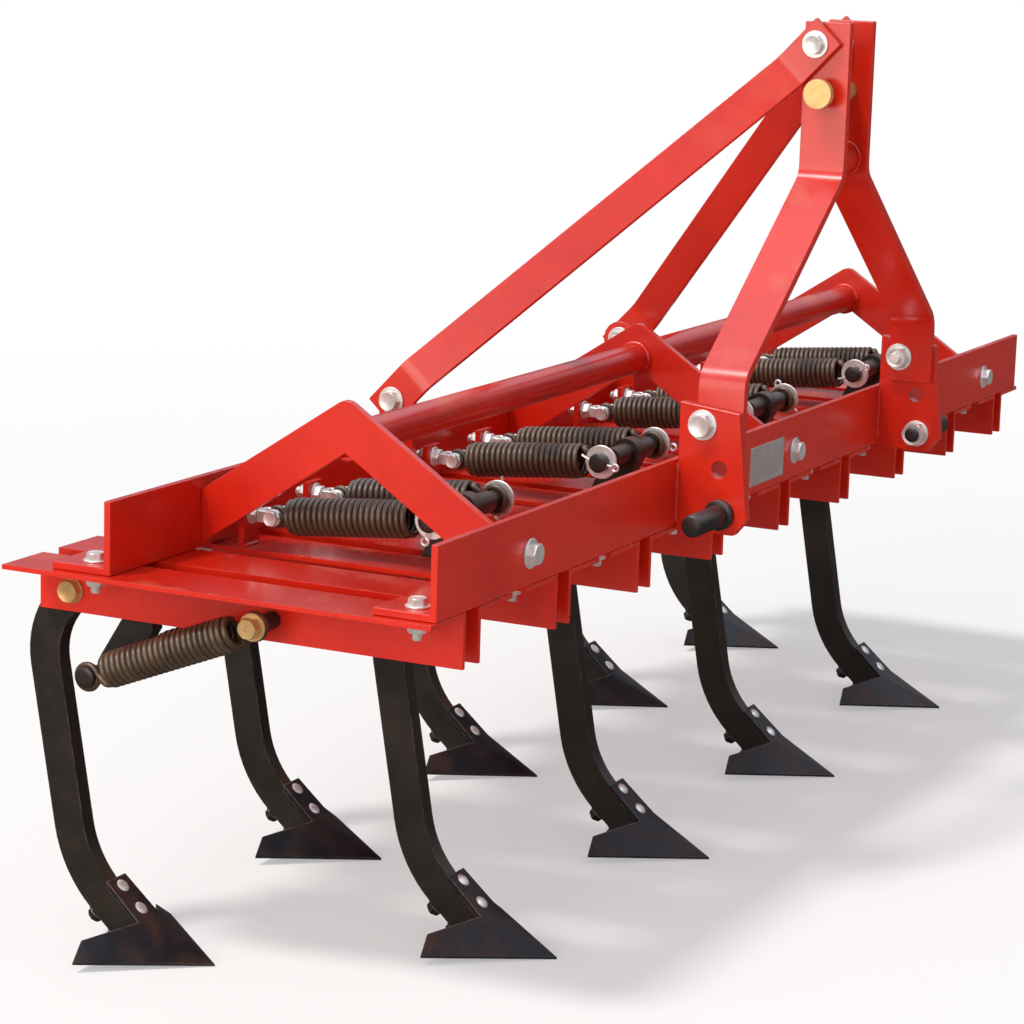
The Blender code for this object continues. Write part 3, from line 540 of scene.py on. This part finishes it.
def springPath(span, shape):
    # in the spring's own axes (along, across, sideways), from the tine's pin at 0 to the anchor at
    # span: a loop, a crossing, the helix (along, r cos t, r sin t), a crossing and a loop
    wire, pinInset, anchorInset = springShape["wire"], shape["pinInset"], shape["anchorInset"]
    coil = shape["outer"] - wire
    length = span - pinInset - anchorInset
    turns = int(length / (2 * wire * springShape["turnPitch"]))
    theta = np.linspace(0, 2 * np.pi * turns, turns * springShape["stepsPerTurn"] + 1)
    share = theta / theta[-1]
    nearEnd = np.minimum(share, 1 - share) * turns
    radius = coil * (1 - springShape["endTaper"] * (1 - smoothStep(nearEnd)))
    helix = np.stack([pinInset + length * share, radius * np.cos(theta), radius * np.sin(theta)], axis=1)
    around, gap = springShape["clearance"] + wire, springShape["loopGap"]
    first = loopPath(shape["pinRadius"] + around, gap, 2 * np.pi)
    last = loopPath(shape["anchorRadius"] + around, np.pi, 3 * np.pi - gap) + np.array([span, 0.0, 0.0])
    fromLoop, throughCoil, toLoop = (springShape["crossPull"] * np.array(springShape[key])
                                     for key in ("fromLoop", "throughCoil", "toLoop"))
    outward = crossing(first[-1], pinInset * fromLoop, helix[0], pinInset * throughCoil)
    inward = crossing(helix[-1], anchorInset * throughCoil, last[0], anchorInset * toLoop)
    path = np.vstack([first, outward, helix, inward, last])
    radial = helix * np.array([0.0, 1.0, 1.0])
    sideways = np.array([0.0, 0.0, 1.0])
    fade = np.linspace(0, 1, len(outward))[:, None]
    guide = np.vstack([np.tile(-sideways, (len(first), 1)),
                       -sideways * (1 - fade) + unit(radial[:1]) * fade, unit(radial),
                       unit(radial[-1:]) * (1 - fade) + sideways * fade,
                       np.tile(sideways, (len(last), 1))])
    return path, guide


def makeSpring(number, side):
    # the path laid from pin to anchor, its third axis across the machine
    name = "spring_%d_%s" % (number, "left" if side < 0 else "right")
    shape, pin, anchor = shapeOf(number), pinOf(number), anchorOf(number)
    offset = np.array([side * springOffset(number), 0.0, 0.0])
    span = np.linalg.norm(anchor - pin)
    along = (anchor - pin) / span
    axes = np.array([along, np.cross(rightWay, along), rightWay])
    path, guide = springPath(span, shape)
    section = circleSection(springShape["wire"], springShape["wireSides"])
    coil = shifted(sweep(path @ axes, guide @ axes, section), pin + offset)
    piece = makePiece(name.replace("spring", "coil"), [coil], "springWire", None, springShape["smoothAngle"])
    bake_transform(piece)
    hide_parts(name)


for number in tineNumbers:
    for side in (-1, 1):
        makeSpring(number, side)
print("stage: springs wound")


# Fasteners: a hex body cut back by a cone, a washer with eased edges, a thread of rings. A bolt's look
# has its corner radius, the heights of head and nut, the washer's radius, and as stud how far the
# bolt's end stands out of the nut.
fastener = dict(
    sides=24, washerThick=0.0024, washerEase=0.25, pitch=0.0018, threadDepth=0.0006, threadSides=14,
    threadShare=0.52, threadFrom=0.8,
    # hex body: share of the corner radius, share of the height
    hexProfile=((1.0, 0.0), (1.0, 0.80), (0.94, 0.93), (0.87, 1.0), (0.8091, 1.0), (0.7482, 0.965)),
)


def washer(seat, way, radius, thick):  # a disc whose rims are eased by a share of its thickness
    ease = thick * fastener["washerEase"]
    return lathe([(radius - ease, 0.0), (radius, ease), (radius, thick - ease), (radius - ease, thick)],
                 seat, way, fastener["sides"])


def threadedEnd(seat, way, radius, length):
    # radius swings between r and r - depth once every pitch, and the end is tapered
    steps = max(2, int(round(length / fastener["pitch"]))) * 2
    z = np.linspace(0, length, steps + 1)
    r = radius - fastener["threadDepth"] * (np.arange(steps + 1) % 2)
    r[-1] = radius - 2 * fastener["threadDepth"]
    return lathe(np.stack([r, z], axis=1), seat, way, fastener["threadSides"])


def boltHead(look, seat, way, tall="headTall"):  # a washer and a hex body on it
    thick = fastener["washerThick"]
    profile = np.array(fastener["hexProfile"]) * (look["corner"], look[tall])
    return [washer(seat, way, look["washer"], thick),
            lathe(profile, seat + way * thick, way, fastener["sides"], corners=6)]


def boltNut(look, seat, way):  # a washer, a hex body and the bolt's threaded end
    lift, start = look["nutTall"] + fastener["washerThick"], fastener["threadFrom"]
    end = threadedEnd(seat + way * lift * start, way, look["corner"] * fastener["threadShare"],
                      lift * (1 - start) + look["stud"])
    return boltHead(look, seat, way, "nutTall") + [end]


def bolted(look, head, nut, way):  # way points out of the head, and the nut faces against it
    return boltHead(look, head, way) + boltNut(look, nut, -way)


holderBolts = dict(offset=0.060, back=0.039, flangeTop=0.009, flangeUnder=-0.0063, corner=0.0115,
                   headTall=0.0085, nutTall=0.012, washer=0.0150, stud=0.009)


def makeHolderBolts():  # two to each holder through either bar's lying flange
    look, patches = holderBolts, []
    for number in tineNumbers:
        for side in (-1, 1):
            across = pivotOf(number)[0] + side * look["offset"]
            for barBack in (0.0, rearBarBack):
                top, under = (barPlace(across, barBack + look["back"], look[key])
                              for key in ("flangeTop", "flangeUnder"))
                patches += bolted(look, top, under, upWay)
    makePiece("holder_bolts", patches, "zincPlate")


# seats are the head's and the nut's places, back from the front or the rear bar's upright face
archBolts = dict(names=("left", "centre", "right"), inset=0.035, up=0.039, frontSeats=(0.0, 0.0196),
                 rearSeats=(-0.0106, 0.0090), corner=0.0140, headTall=0.0100, nutTall=0.012,
                 washer=0.0185, stud=0.006)


def makeArchBolts():  # one through either foot of each arch
    look, patches = archBolts, []
    for name in look["names"]:
        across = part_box("arch_bracket_" + name)[0].x + look["inset"]
        for barBack, seats in ((0.0, look["frontSeats"]), (rearBarBack, look["rearSeats"])):
            head, nut = (barPlace(across, barBack + seat, look["up"]) for seat in seats)
            patches += bolted(look, head, nut, frontWay)
    makePiece("arch_bolts", patches, "zincPlate")


# places are rows of back, up, and the head's and the nut's seats out from the middle
mastBolts = dict(places=((-0.033, 0.136, 0.3862, 0.3575),), corner=0.0160, headTall=0.0125,
                 nutTall=0.013, washer=0.0200, stud=0.006)
stayBolts = dict(places=((0.424, 0.122, 0.3805, 0.3578), (-0.037, 0.610, 0.0605, 0.0378)), corner=0.0140,
                 headTall=0.0105, nutTall=0.012, washer=0.0185, stud=0.005)


def makeMastBolts():
    patches = []
    for look in (mastBolts, stayBolts):
        for back, up, outside, inside in look["places"]:
            patches += bolted(look, barPlace(outside, back, up), barPlace(inside, back, up), rightWay)
    makePiece("mast_bolts", withMirrored(patches), "zincPlate")


pivotBolts = dict(half=0.0220, corner=0.0148, headTall=0.0105, nutTall=0.0105, washer=0.0158, stud=0.004)


def makePivotBolts():
    look, patches = pivotBolts, []
    for pivot in map(pivotOf, tineNumbers):
        patches += bolted(look, pivot + leftWay * look["half"], pivot + rightWay * look["half"], leftWay)
    makePiece("pivot_bolts", patches, "goldZinc")


makeHolderBolts()
makeArchBolts()
makeMastBolts()
makePivotBolts()
print("stage: bolts fitted")


# Pins and their keepers. Turned ends have (radius, distance) profiles from the seat outwards.
turnedEnd = dict(sides=32, crownFrom=0.25, crownRadius=0.5)


def roundEnd(look, seat, way):
    # a round bar's end: a chamfer of the ease and a slight dome, whose shares are of ease and radius
    radius, length, ease = look["radius"], look["length"], look["ease"]
    profile = [(radius, 0.0), (radius, length - ease),
               (radius - ease, length - ease * turnedEnd["crownFrom"]),
               (radius * turnedEnd["crownRadius"], length)]
    return lathe(profile, seat, way, turnedEnd["sides"])


# shares are of the reach along the pin's hole, but tip and tailBow of the eye
cotter = dict(wire=0.0017, sides=8, reach=0.0215, eye=0.0045, eyeFrom=-0.75 * np.pi, eyeTo=0.95 * np.pi,
              eyeSteps=18, tip=0.7, straight=(0.9, 0.4), tailFrom=0.2, tailBow=0.9, tailSteps=8)


def splitPin(centre, along, across):
    # a wire through the pin: an eye, (sin t across + cos t along) round its middle, and a tail that
    # bows aside by the square of its share
    look, reach, eye = cotter, cotter["reach"], cotter["eye"]
    turn = np.linspace(look["eyeFrom"], look["eyeTo"], look["eyeSteps"])[:, None]
    tip = centre + along * (reach + eye * look["tip"])
    bow = tip + eye * (np.sin(turn) * across + np.cos(turn) * along)
    straight = centre + along * reach * np.array(look["straight"])[:, None]
    share = np.linspace(0, 1, look["tailSteps"])[:, None]
    tail = centre - along * reach * (look["tailFrom"] + share) + across * eye * look["tailBow"] * share**2
    path = np.vstack([bow, straight, tail])
    guide = np.tile(np.cross(along, across), (len(path), 1))
    return sweep(path, guide, circleSection(look["wire"], look["sides"]))


crossPins = dict(washerAt=0.0860, washerRadius=0.0228, washerThick=0.0032, cotterAt=0.0960,
                 cotterTurns=(170, -100, 35, -60), end=dict(radius=0.0130, length=0.0130, ease=0.0018))


def makeCrossPin(number):
    # both ends alike: a washer outside the spring's loop, the pin's end and a wire through it, which
    # is turned back from upright by its own angle on each pin
    look, pin, rings, ends = crossPins, pinOf(number), [], []
    turn = math.radians(look["cotterTurns"][frontTines.index(number)])
    lift = np.array([0.0, math.sin(turn), math.cos(turn)])
    endAt = look["washerAt"] + look["washerThick"] * 0.5
    for way in (leftWay, rightWay):
        rings.append(washer(pin + way * look["washerAt"], way, look["washerRadius"], look["washerThick"]))
        rings.append(splitPin(pin + way * look["cotterAt"], lift, np.cross(way, lift)))
        ends.append(roundEnd(look["end"], pin + way * endAt, way))
    makePiece("cross_pin_washers_%d" % number, rings, "zincPlate", tineBody(number))
    makePiece("cross_pin_ends_%d" % number, ends, "pinSteel", tineBody(number))


lowPins = dict(seat=0.0668, radius=0.0128, length=0.0046, ease=0.0012)


def makeLowPins(number):
    look, pin = lowPins, pinOf(number)
    caps = [roundEnd(look, pin + way * look["seat"], way) for way in (leftWay, rightWay)]
    makePiece("low_pin_ends_%d" % number, caps, "tineLacquer", tineBody(number))


lowAnchors = dict(sleeveRadius=0.0107, sleeveFrom=0.0218, washerAt=0.0668, washerRadius=0.0170,
                  washerThick=0.0026, corner=0.0132, length=0.0130, dimple=0.0030, sides=36,
                  headProfile=((1.0, 0.0), (1.0, 0.8), (0.94, 0.93), (0.86, 1.0)))


def makeLowAnchors():
    # each long anchor pin: a sleeve up to the spring's loop, and outside it a washer and a hex head
    # with a dimple in its middle
    look, sleeves, heads = lowAnchors, [], []
    corner, tall, dimple = look["corner"], look["length"], look["dimple"]
    profile = [*np.array(look["headProfile"]) * (corner, tall), (dimple, tall),
               (dimple * 0.7, tall - dimple * 0.6)]
    for number in rearTines:
        anchor = anchorOf(number)
        reach = springOffset(number) - springShape["wire"] - springShape["clearance"]
        for way in (leftWay, rightWay):
            sleeves.append(lathe([(look["sleeveRadius"], look["sleeveFrom"]), (look["sleeveRadius"], reach)],
                                 anchor, way))
            seat = anchor + way * look["washerAt"]
            heads.append(washer(seat, way, look["washerRadius"], look["washerThick"]))
            heads.append(lathe(profile, seat + way * look["washerThick"], way, look["sides"], corners=6))
    makePiece("anchor_sleeves", sleeves, "tineLacquer")
    makePiece("anchor_heads", heads, "goldZinc")


# Adjusters: a bent strap round the spring's loop, its cross bolt, and a threaded rod with two nuts
adjuster = dict(
    armMiddle=0.0100, strapThick=0.0080, strapTall=0.0074, strapEase=0.0009, eyeTall=0.0098,
    backAt=0.0215, bend=0.0042, lugFront=0.0380, lugThick=0.0080, rodRadius=0.0063, rodFrom=0.0205,
    rodLength=0.0440, nut=dict(corner=0.0112, headTall=0.0085, washer=0.0135),
    bolt=dict(corner=0.0100, headTall=0.0062, nutTall=0.0062, washer=0.01053, stud=0.002),
)


def strapPath():
    # U in plan: an arm, a quarter turn, the back and the other arm, by arcs of the bend radius
    arm, back, bend = adjuster["armMiddle"], adjuster["backAt"], adjuster["bend"]
    quarter = np.linspace(0, np.pi / 2, 7)[:, None]
    left = np.column_stack([np.full(8, -arm), np.linspace(-adjuster["eyeTall"], back - bend, 8)])
    leftTurn = np.hstack([-arm + bend * (1 - np.cos(quarter)), back - bend + bend * np.sin(quarter)])[1:]
    half = np.vstack([left, leftTurn])
    return np.vstack([half, half[::-1] * np.array([-1.0, 1.0])])


def roundedBox(a, b, ease):
    # eight points of a rectangle, a and b each way from its middle, with cut corners
    return np.array([(a, -b + ease), (a, b - ease), (a - ease, b), (-a + ease, b), (-a, b - ease),
                     (-a, -b + ease), (-a + ease, -b), (a - ease, -b)])


def strapPatch():
    # half height: round the cross bolt near each end, as root(eye^2 - s^2), and even between
    look, flat = adjuster, strapPath()
    path = np.column_stack([flat, np.zeros(len(flat))])
    eye = look["eyeTall"]
    fromBolt = np.clip(-flat[:, 1], 0.0, eye * 0.97)
    tall = np.where(flat[:, 1] < eye * 0.6, np.sqrt(eye**2 - fromBolt**2), look["strapTall"])
    section = np.stack([roundedBox(height, look["strapThick"] / 2, look["strapEase"]) for height in tall])
    return sweep(path, np.tile(upWay, (len(path), 1)), section)


def makeAdjusters():
    look, strap, straps, bolts = adjuster, strapPatch(), [], []
    outer, lugBack = look["armMiddle"] + look["strapThick"] / 2, look["lugFront"] + look["lugThick"]
    for number in frontTines:
        for side in (-1, 1):
            middle = anchorOf(number) + np.array([side * springOffset(number), 0.0, 0.0])
            straps.append(shifted(strap, middle))
            straps.append(threadedEnd(middle + backWay * look["rodFrom"], backWay, look["rodRadius"],
                                      look["rodLength"]))
            bolts += bolted(look["bolt"], middle + leftWay * outer, middle + rightWay * outer, leftWay)
            bolts += boltHead(look["nut"], middle + backWay * look["lugFront"], frontWay)
            bolts += boltHead(look["nut"], middle + backWay * lugBack, backWay)
    makePiece("adjuster_straps", straps, "zincPlate")
    makePiece("adjuster_nuts", bolts, "zincPlate")


# Plough bolts: flat domed heads on the neck and nuts behind the shank, square to the toe's slope.
# heads are (back, up) from the shovel's box, and below runs from a head to its nut.
ploughBolts = dict(slope=math.radians(42), heads=((0.1328, 0.0799), (0.1060, 0.0558)), radius=0.0088,
                   sunk=0.001, rise=0.0026, below=0.0506, corner=0.0108, nutTall=0.0085, washer=0.0135,
                   stud=0.004)


def makePloughBolts(number):
    look, heads, nuts = ploughBolts, [], []
    low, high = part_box("shovel_%d" % number)
    outWay = np.array([0.0, -math.sin(look["slope"]), math.cos(look["slope"])])
    radius, rise = look["radius"], look["rise"]
    dome = [(radius, -look["sunk"]), (radius, rise * 0.3), (radius * 0.8, rise * 0.8), (radius * 0.4, rise)]
    for back, up in look["heads"]:
        seat = np.array([(low.x + high.x) / 2, low.y + back, low.z + up])
        heads.append(lathe(dome, seat, outWay))
        nuts += boltNut(look, seat - outWay * look["below"], -outWay)
    makePiece("plough_bolts_%d" % number, heads, "zincPlate", tineBody(number))
    makePiece("plough_nuts_%d" % number, nuts, "pinSteel", tineBody(number))


# Lower link pins: a long cover with a collar outside the hitch plate, and the pin's nut and end inside
linkPins = dict(ahead=0.062, up=0.022, plateOuter=0.386, plateInner=0.3698, radius=0.0146, length=0.0940,
                ease=0.0034, collar=((0.019856, 0.0), (0.019856, 0.0078), (0.018688, 0.0086)),
                collarThick=0.0090, sides=40, corner=0.0182, headTall=0.0155, washer=0.0195,
                end=dict(radius=0.0108, length=0.0215, ease=0.0017))


def makeLinkPins():
    look = linkPins
    outer, inner = (barPlace(look[key], -look["ahead"], look["up"]) for key in ("plateOuter", "plateInner"))
    radius, length, ease = look["radius"], look["length"], look["ease"]
    profile = [*look["collar"], (radius, look["collarThick"]), (radius, length - ease),
               (radius - ease * 0.5, length - ease * 0.2), (radius - ease, length)]
    covers = [lathe(profile, outer, rightWay, look["sides"]), roundEnd(look["end"], inner, leftWay)]
    makePiece("link_pin_covers", withMirrored(covers), "pinSteel")
    makePiece("link_pin_nuts", withMirrored(boltHead(look, inner, leftWay)), "zincPlate")


# Nameplate, blank: a thin plate with a raised border and a rivet at each corner
namePlate = dict(across=-0.074, up=0.038, halfWide=0.060, halfTall=0.027, thick=0.0012, border=0.0045,
                 slope=0.0015, rise=0.0008, edge=0.0004, points=61, rivetInset=0.0078,
                 rivet=((0.0024, 0.0), (0.00216, 0.0008), (0.0012, 0.0013)), rivetSides=16,
                 smoothAngle=30.0)


def makeNamePlate():
    # depth over the plate: rise within the border, 0 inside it, joined by a smooth step
    look = namePlate
    share = np.linspace(-1, 1, look["points"])
    wide, tall = np.meshgrid(share * look["halfWide"], share * look["halfTall"])
    inset = np.minimum(look["halfWide"] - np.abs(wide), look["halfTall"] - np.abs(tall))
    rise = look["thick"] + look["rise"] * (1 - smoothStep((inset - look["border"]) / look["slope"]))
    rise = np.where(inset < look["edge"], 0.0, rise)
    middle = barPlace(look["across"], 0.0, look["up"])
    grid = np.stack([middle[0] + wide, middle[1] - rise, middle[2] + tall], axis=-1)
    rows, columns = grid.shape[:2]
    i, j = np.meshgrid(np.arange(rows - 1), np.arange(columns - 1), indexing="ij")
    start = i * columns + j
    quads = np.stack([start, start + 1, start + columns + 1, start + columns], axis=-1).reshape(-1, 4)
    patches = [(grid.reshape(-1, 3), [quads, np.zeros((0, 3), int)])]
    for x in (-1, 1):
        for z in (-1, 1):
            seat = middle + np.array([x * (look["halfWide"] - look["rivetInset"]), -look["thick"],
                                      z * (look["halfTall"] - look["rivetInset"])])
            patches.append(lathe(look["rivet"], seat, frontWay, look["rivetSides"]))
    makePiece("name_plate", patches, "plateAluminium", smoothAngle=look["smoothAngle"])


# Weld beads: a rope of overlapping ripples along a line between two pieces
weldLook = dict(radius=0.0034, ripple=0.14, pitch=0.0034, waver=0.08, waverRate=310.0, endShare=0.35,
                step=0.0011, sides=8, ringPoints=73, smoothAngle=50.0)


def weldBead(path, guide, closed=False):
    # radius * (1 + ripple * saw tooth along the path + waver * sin), drawn in at open ends
    path, guide = np.asarray(path, float), np.asarray(guide, float)
    length = np.concatenate([[0], np.cumsum(np.linalg.norm(np.diff(path, axis=0), axis=1))])
    steps = max(4, int(length[-1] / weldLook["step"]))
    at = np.linspace(0, length[-1], steps, endpoint=not closed)
    fine, guides = (np.stack([np.interp(at, length, line[:, k]) for k in range(3)], axis=1)
                    for line in (path, guide))
    tooth = (at / weldLook["pitch"]) % 1.0
    waver = weldLook["waver"] * np.sin(at * weldLook["waverRate"])
    radius = weldLook["radius"] * (1 + weldLook["ripple"] * (tooth - 0.5) + waver)
    if not closed:
        fromEnd = smoothStep(np.minimum(at, length[-1] - at) / (2 * weldLook["radius"]))
        radius *= weldLook["endShare"] + (1 - weldLook["endShare"]) * fromEnd
    section = radius[:, None, None] * circleSection(1.0, weldLook["sides"])
    return sweep(fine, guides, section, closed)


def straightBead(first, last, guide):
    return weldBead([first, last], [guide, guide])


def ringBead(across, tube, radius):
    # circle of the given radius about a tube that runs across the machine, at across along it
    one, two = squareTo(rightWay)
    turn = np.linspace(0, 2 * np.pi, weldLook["ringPoints"])[:, None]
    spoke = np.cos(turn) * one + np.sin(turn) * two
    return weldBead(np.array([across, tube[1], tube[2]]) + radius * spoke, spoke, closed=True)


welds = dict(pipeUp=0.152, pipeBack=0.235, tubeRadius=0.022, tubeInset=0.001, archHalf=0.0062,
             hitchMiddle=0.378, hitchHalf=0.0085, hitchTop=0.085, hitchLow=0.006, proud=0.0008,
             stayLugs=(0.370, 0.358), stayLugFrom=0.400, stayLugTo=0.432, flangeTop=0.0102, lugHalf=0.018,
             lugFront=0.390, lugThick=0.008)


def makeWelds():
    look, patches = welds, []
    proud, inset, radius = look["proud"], look["tubeInset"], look["tubeRadius"]
    pipeLow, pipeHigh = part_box("brace_pipe")
    pipe = barPlace(0.0, look["pipeBack"], look["pipeUp"])
    for across in (pipeLow.x + inset, pipeHigh.x - inset, -look["archHalf"], look["archHalf"]):
        patches.append(ringBead(across, pipe, radius))
    spacerLow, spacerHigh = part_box("mast_spacer")
    for across in (spacerLow.x + inset, spacerHigh.x - inset):
        patches.append(ringBead(across, (spacerLow + spacerHigh) / 2, radius))
    for sign in (-1, 1):
        middle, half = sign * look["hitchMiddle"], look["hitchHalf"]
        for across in (middle - half, middle + half):
            foot, top = (barPlace(across, -proud, look[key]) for key in ("hitchLow", "hitchTop"))
            patches.append(straightBead(foot, top, frontWay))
        for across in look["stayLugs"]:
            first, last = (barPlace(sign * across, look[key], look["flangeTop"])
                           for key in ("stayLugFrom", "stayLugTo"))
            patches.append(straightBead(first, last, upWay))
    half = look["lugHalf"]
    for number in frontTines:
        for side in (-1, 1):
            across = pivotOf(number)[0] + side * springOffset(number)
            for back in (look["lugFront"] - proud, look["lugFront"] + look["lugThick"] + proud):
                first, last = barPlace(across - half, back, proud), barPlace(across + half, back, proud)
                patches.append(straightBead(first, last, upWay))
    makePiece("weld_beads", patches, "redEnamel", smoothAngle=weldLook["smoothAngle"])


for number in tineNumbers:
    makePloughBolts(number)
    if number in rearTines:
        makeLowPins(number)
    else:
        makeCrossPin(number)
makeLowAnchors()
makeAdjusters()
makeLinkPins()
makeNamePlate()
makeWelds()
print("stage: pins, plate and welds added")


# Camera, in the place and turn that the bars, holders and shovels' tips in the view give
view = dict(fromBar=(-3.0623, -1.5903, 0.8106), down=11.17, turn=63.89, roll=1.76, focalPixels=3185.3,
            framePixels=1024, sensor=36.0, clipEnd=200.0)


def placedBy(right, up, back, place):  # a matrix whose columns are three axes and the place
    matrix = np.eye(4)
    matrix[:3] = np.stack([right, up, back, place], axis=1)
    return Matrix(matrix.tolist())


def makeCamera():
    # forward = (sin turn cos down, cos turn cos down, -sin down), and the roll turns right and up about it
    down, turn, roll = (math.radians(view[key]) for key in ("down", "turn", "roll"))
    forward = np.array([math.sin(turn) * math.cos(down), math.cos(turn) * math.cos(down), -math.sin(down)])
    level = np.array([math.cos(turn), -math.sin(turn), 0.0])
    above = np.cross(level, forward)
    right = math.cos(roll) * level + math.sin(roll) * above
    up = -math.sin(roll) * level + math.cos(roll) * above
    data = bpy.data.cameras.new("camera")
    data.sensor_fit = "HORIZONTAL"
    data.sensor_width = view["sensor"]
    data.lens = view["focalPixels"] / view["framePixels"] * view["sensor"]
    data.clip_end = view["clipEnd"]
    camera = addObject("camera", data)
    camera.matrix_world = placedBy(right, up, -forward, np.array(barLow) + np.array(view["fromBar"]))
    bpy.context.scene.camera = camera


# Light: a soft sun from above and behind, a broad warm lamp far to the left, and a room whose
# reflections are bright overhead and dim at the horizon
lighting = dict(sunPlace=(-3.0, 2.0, 4.0), sunWay=(0.42, -0.26, -0.87), sunStrength=1.9, sunSpread=10.0,
                sunColour=(1.0, 0.97, 0.93), sidePlace=(-9.0, 1.2, 2.4), sideAim=(0.0, 0.0, 0.5),
                sideSize=6.0, sidePower=430.0, sideColour=(1.0, 0.93, 0.85), room=0.42,
                roomColour=rgb(244, 248, 254), mirrorLow=0.12, mirrorHigh=2.6, mirrorFrom=0.15,
                mirrorTo=0.95, mirrorColour=rgb(232, 240, 255))
plainWhite = (1.0, 1.0, 1.0, 1.0)


def addLamp(name, kind, strength, colour, place, way):
    # a lamp looks along its own -Z, so its Z axis is set against way
    data = bpy.data.lights.new(name, kind)
    data.energy = strength
    data.color = colour
    back = -unit(np.array(way))
    side = unit(np.cross(upWay, back))
    addObject(name, data).matrix_world = placedBy(side, np.cross(back, side), back, place)
    return data


def makeLights():
    look = lighting
    sun = addLamp("sun", "SUN", look["sunStrength"], look["sunColour"], look["sunPlace"], look["sunWay"])
    sun.angle = math.radians(look["sunSpread"])
    sideWay = np.array(look["sideAim"]) - np.array(look["sidePlace"])
    side = addLamp("side", "AREA", look["sidePower"], look["sideColour"], look["sidePlace"], sideWay)
    side.size = look["sideSize"]


def makeRoom():
    # to the camera 1; to reflections low + (high - low) * ramp(direction's z); to the rest room
    world = bpy.data.worlds.new("room")
    bpy.context.scene.world = world
    world.use_nodes = True
    tree = world.node_tree
    ray = tree.nodes.new("ShaderNodeLightPath").outputs
    direction = addNode(tree, "ShaderNodeTexCoord").outputs["Generated"]
    upward = addNode(tree, "ShaderNodeSeparateXYZ", {0: direction}).outputs["Z"]
    rise = ramped(tree, upward, lighting["mirrorFrom"], lighting["mirrorTo"])
    mirror = mixValue(tree, rise, lighting["mirrorLow"], lighting["mirrorHigh"])
    seen = mathNode(tree, "MAXIMUM", ray["Is Camera Ray"], ray["Is Transmission Ray"])
    strength = mixValue(tree, ray["Is Glossy Ray"], lighting["room"], mirror)
    tint = mixColour(tree, ray["Is Glossy Ray"], lighting["roomColour"], lighting["mirrorColour"])
    setInputs(tree, tree.nodes["Background"], {"Color": mixColour(tree, seen, tint, plainWhite),
                                               "Strength": mixValue(tree, seen, strength, 1.0)})


# Floor: pale and matt near the machine, fading to the room's white with distance from its middle
floorLook = dict(half=60.0, colour=rgb(250, 250, 250), mirrored=rgb(92, 78, 74), roughness=0.9,
                 specular=0.1, fadeFrom=0.6, fadeTo=4.5, fadeLeast=0.38)


def makeFloor():
    # white's share = the larger of fadeLeast and ramp(distance), and only to the camera
    half = floorLook["half"]
    mesh = bpy.data.meshes.new("floor")
    mesh.from_pydata([(-half, -half, 0), (half, -half, 0), (half, half, 0), (-half, half, 0)], [],
                     [(0, 1, 2, 3)])
    floor = addObject("floor", mesh)
    material, tree, shader = newMaterial("paleFloor")
    place = addNode(tree, "ShaderNodeTexCoord").outputs["Object"]
    away = addNode(tree, "ShaderNodeVectorMath", {0: place}, operation="LENGTH").outputs["Value"]
    spread = ramped(tree, away, floorLook["fadeFrom"], floorLook["fadeTo"])
    fade = mathNode(tree, "MAXIMUM", spread, floorLook["fadeLeast"])
    ray = tree.nodes.new("ShaderNodeLightPath").outputs
    colour = mixColour(tree, ray["Is Glossy Ray"], floorLook["colour"], floorLook["mirrored"])
    setInputs(tree, shader, {"Base Color": colour, "Roughness": floorLook["roughness"],
                             "Specular IOR Level": floorLook["specular"]})
    white = addNode(tree, "ShaderNodeEmission", {"Color": plainWhite, "Strength": 1.0}).outputs[0]
    share = mathNode(tree, "MULTIPLY", fade, ray["Is Camera Ray"])
    mixed = addNode(tree, "ShaderNodeMixShader", {0: share, 1: shader.outputs[0], 2: white}).outputs[0]
    tree.links.new(mixed, tree.nodes["Material Output"].inputs["Surface"])
    mesh.materials.append(material)


bpy.context.scene.view_settings.view_transform = "Standard"
makeCamera()
makeLights()
makeRoom()
makeFloor()
print("stage: camera, lights and floor set")
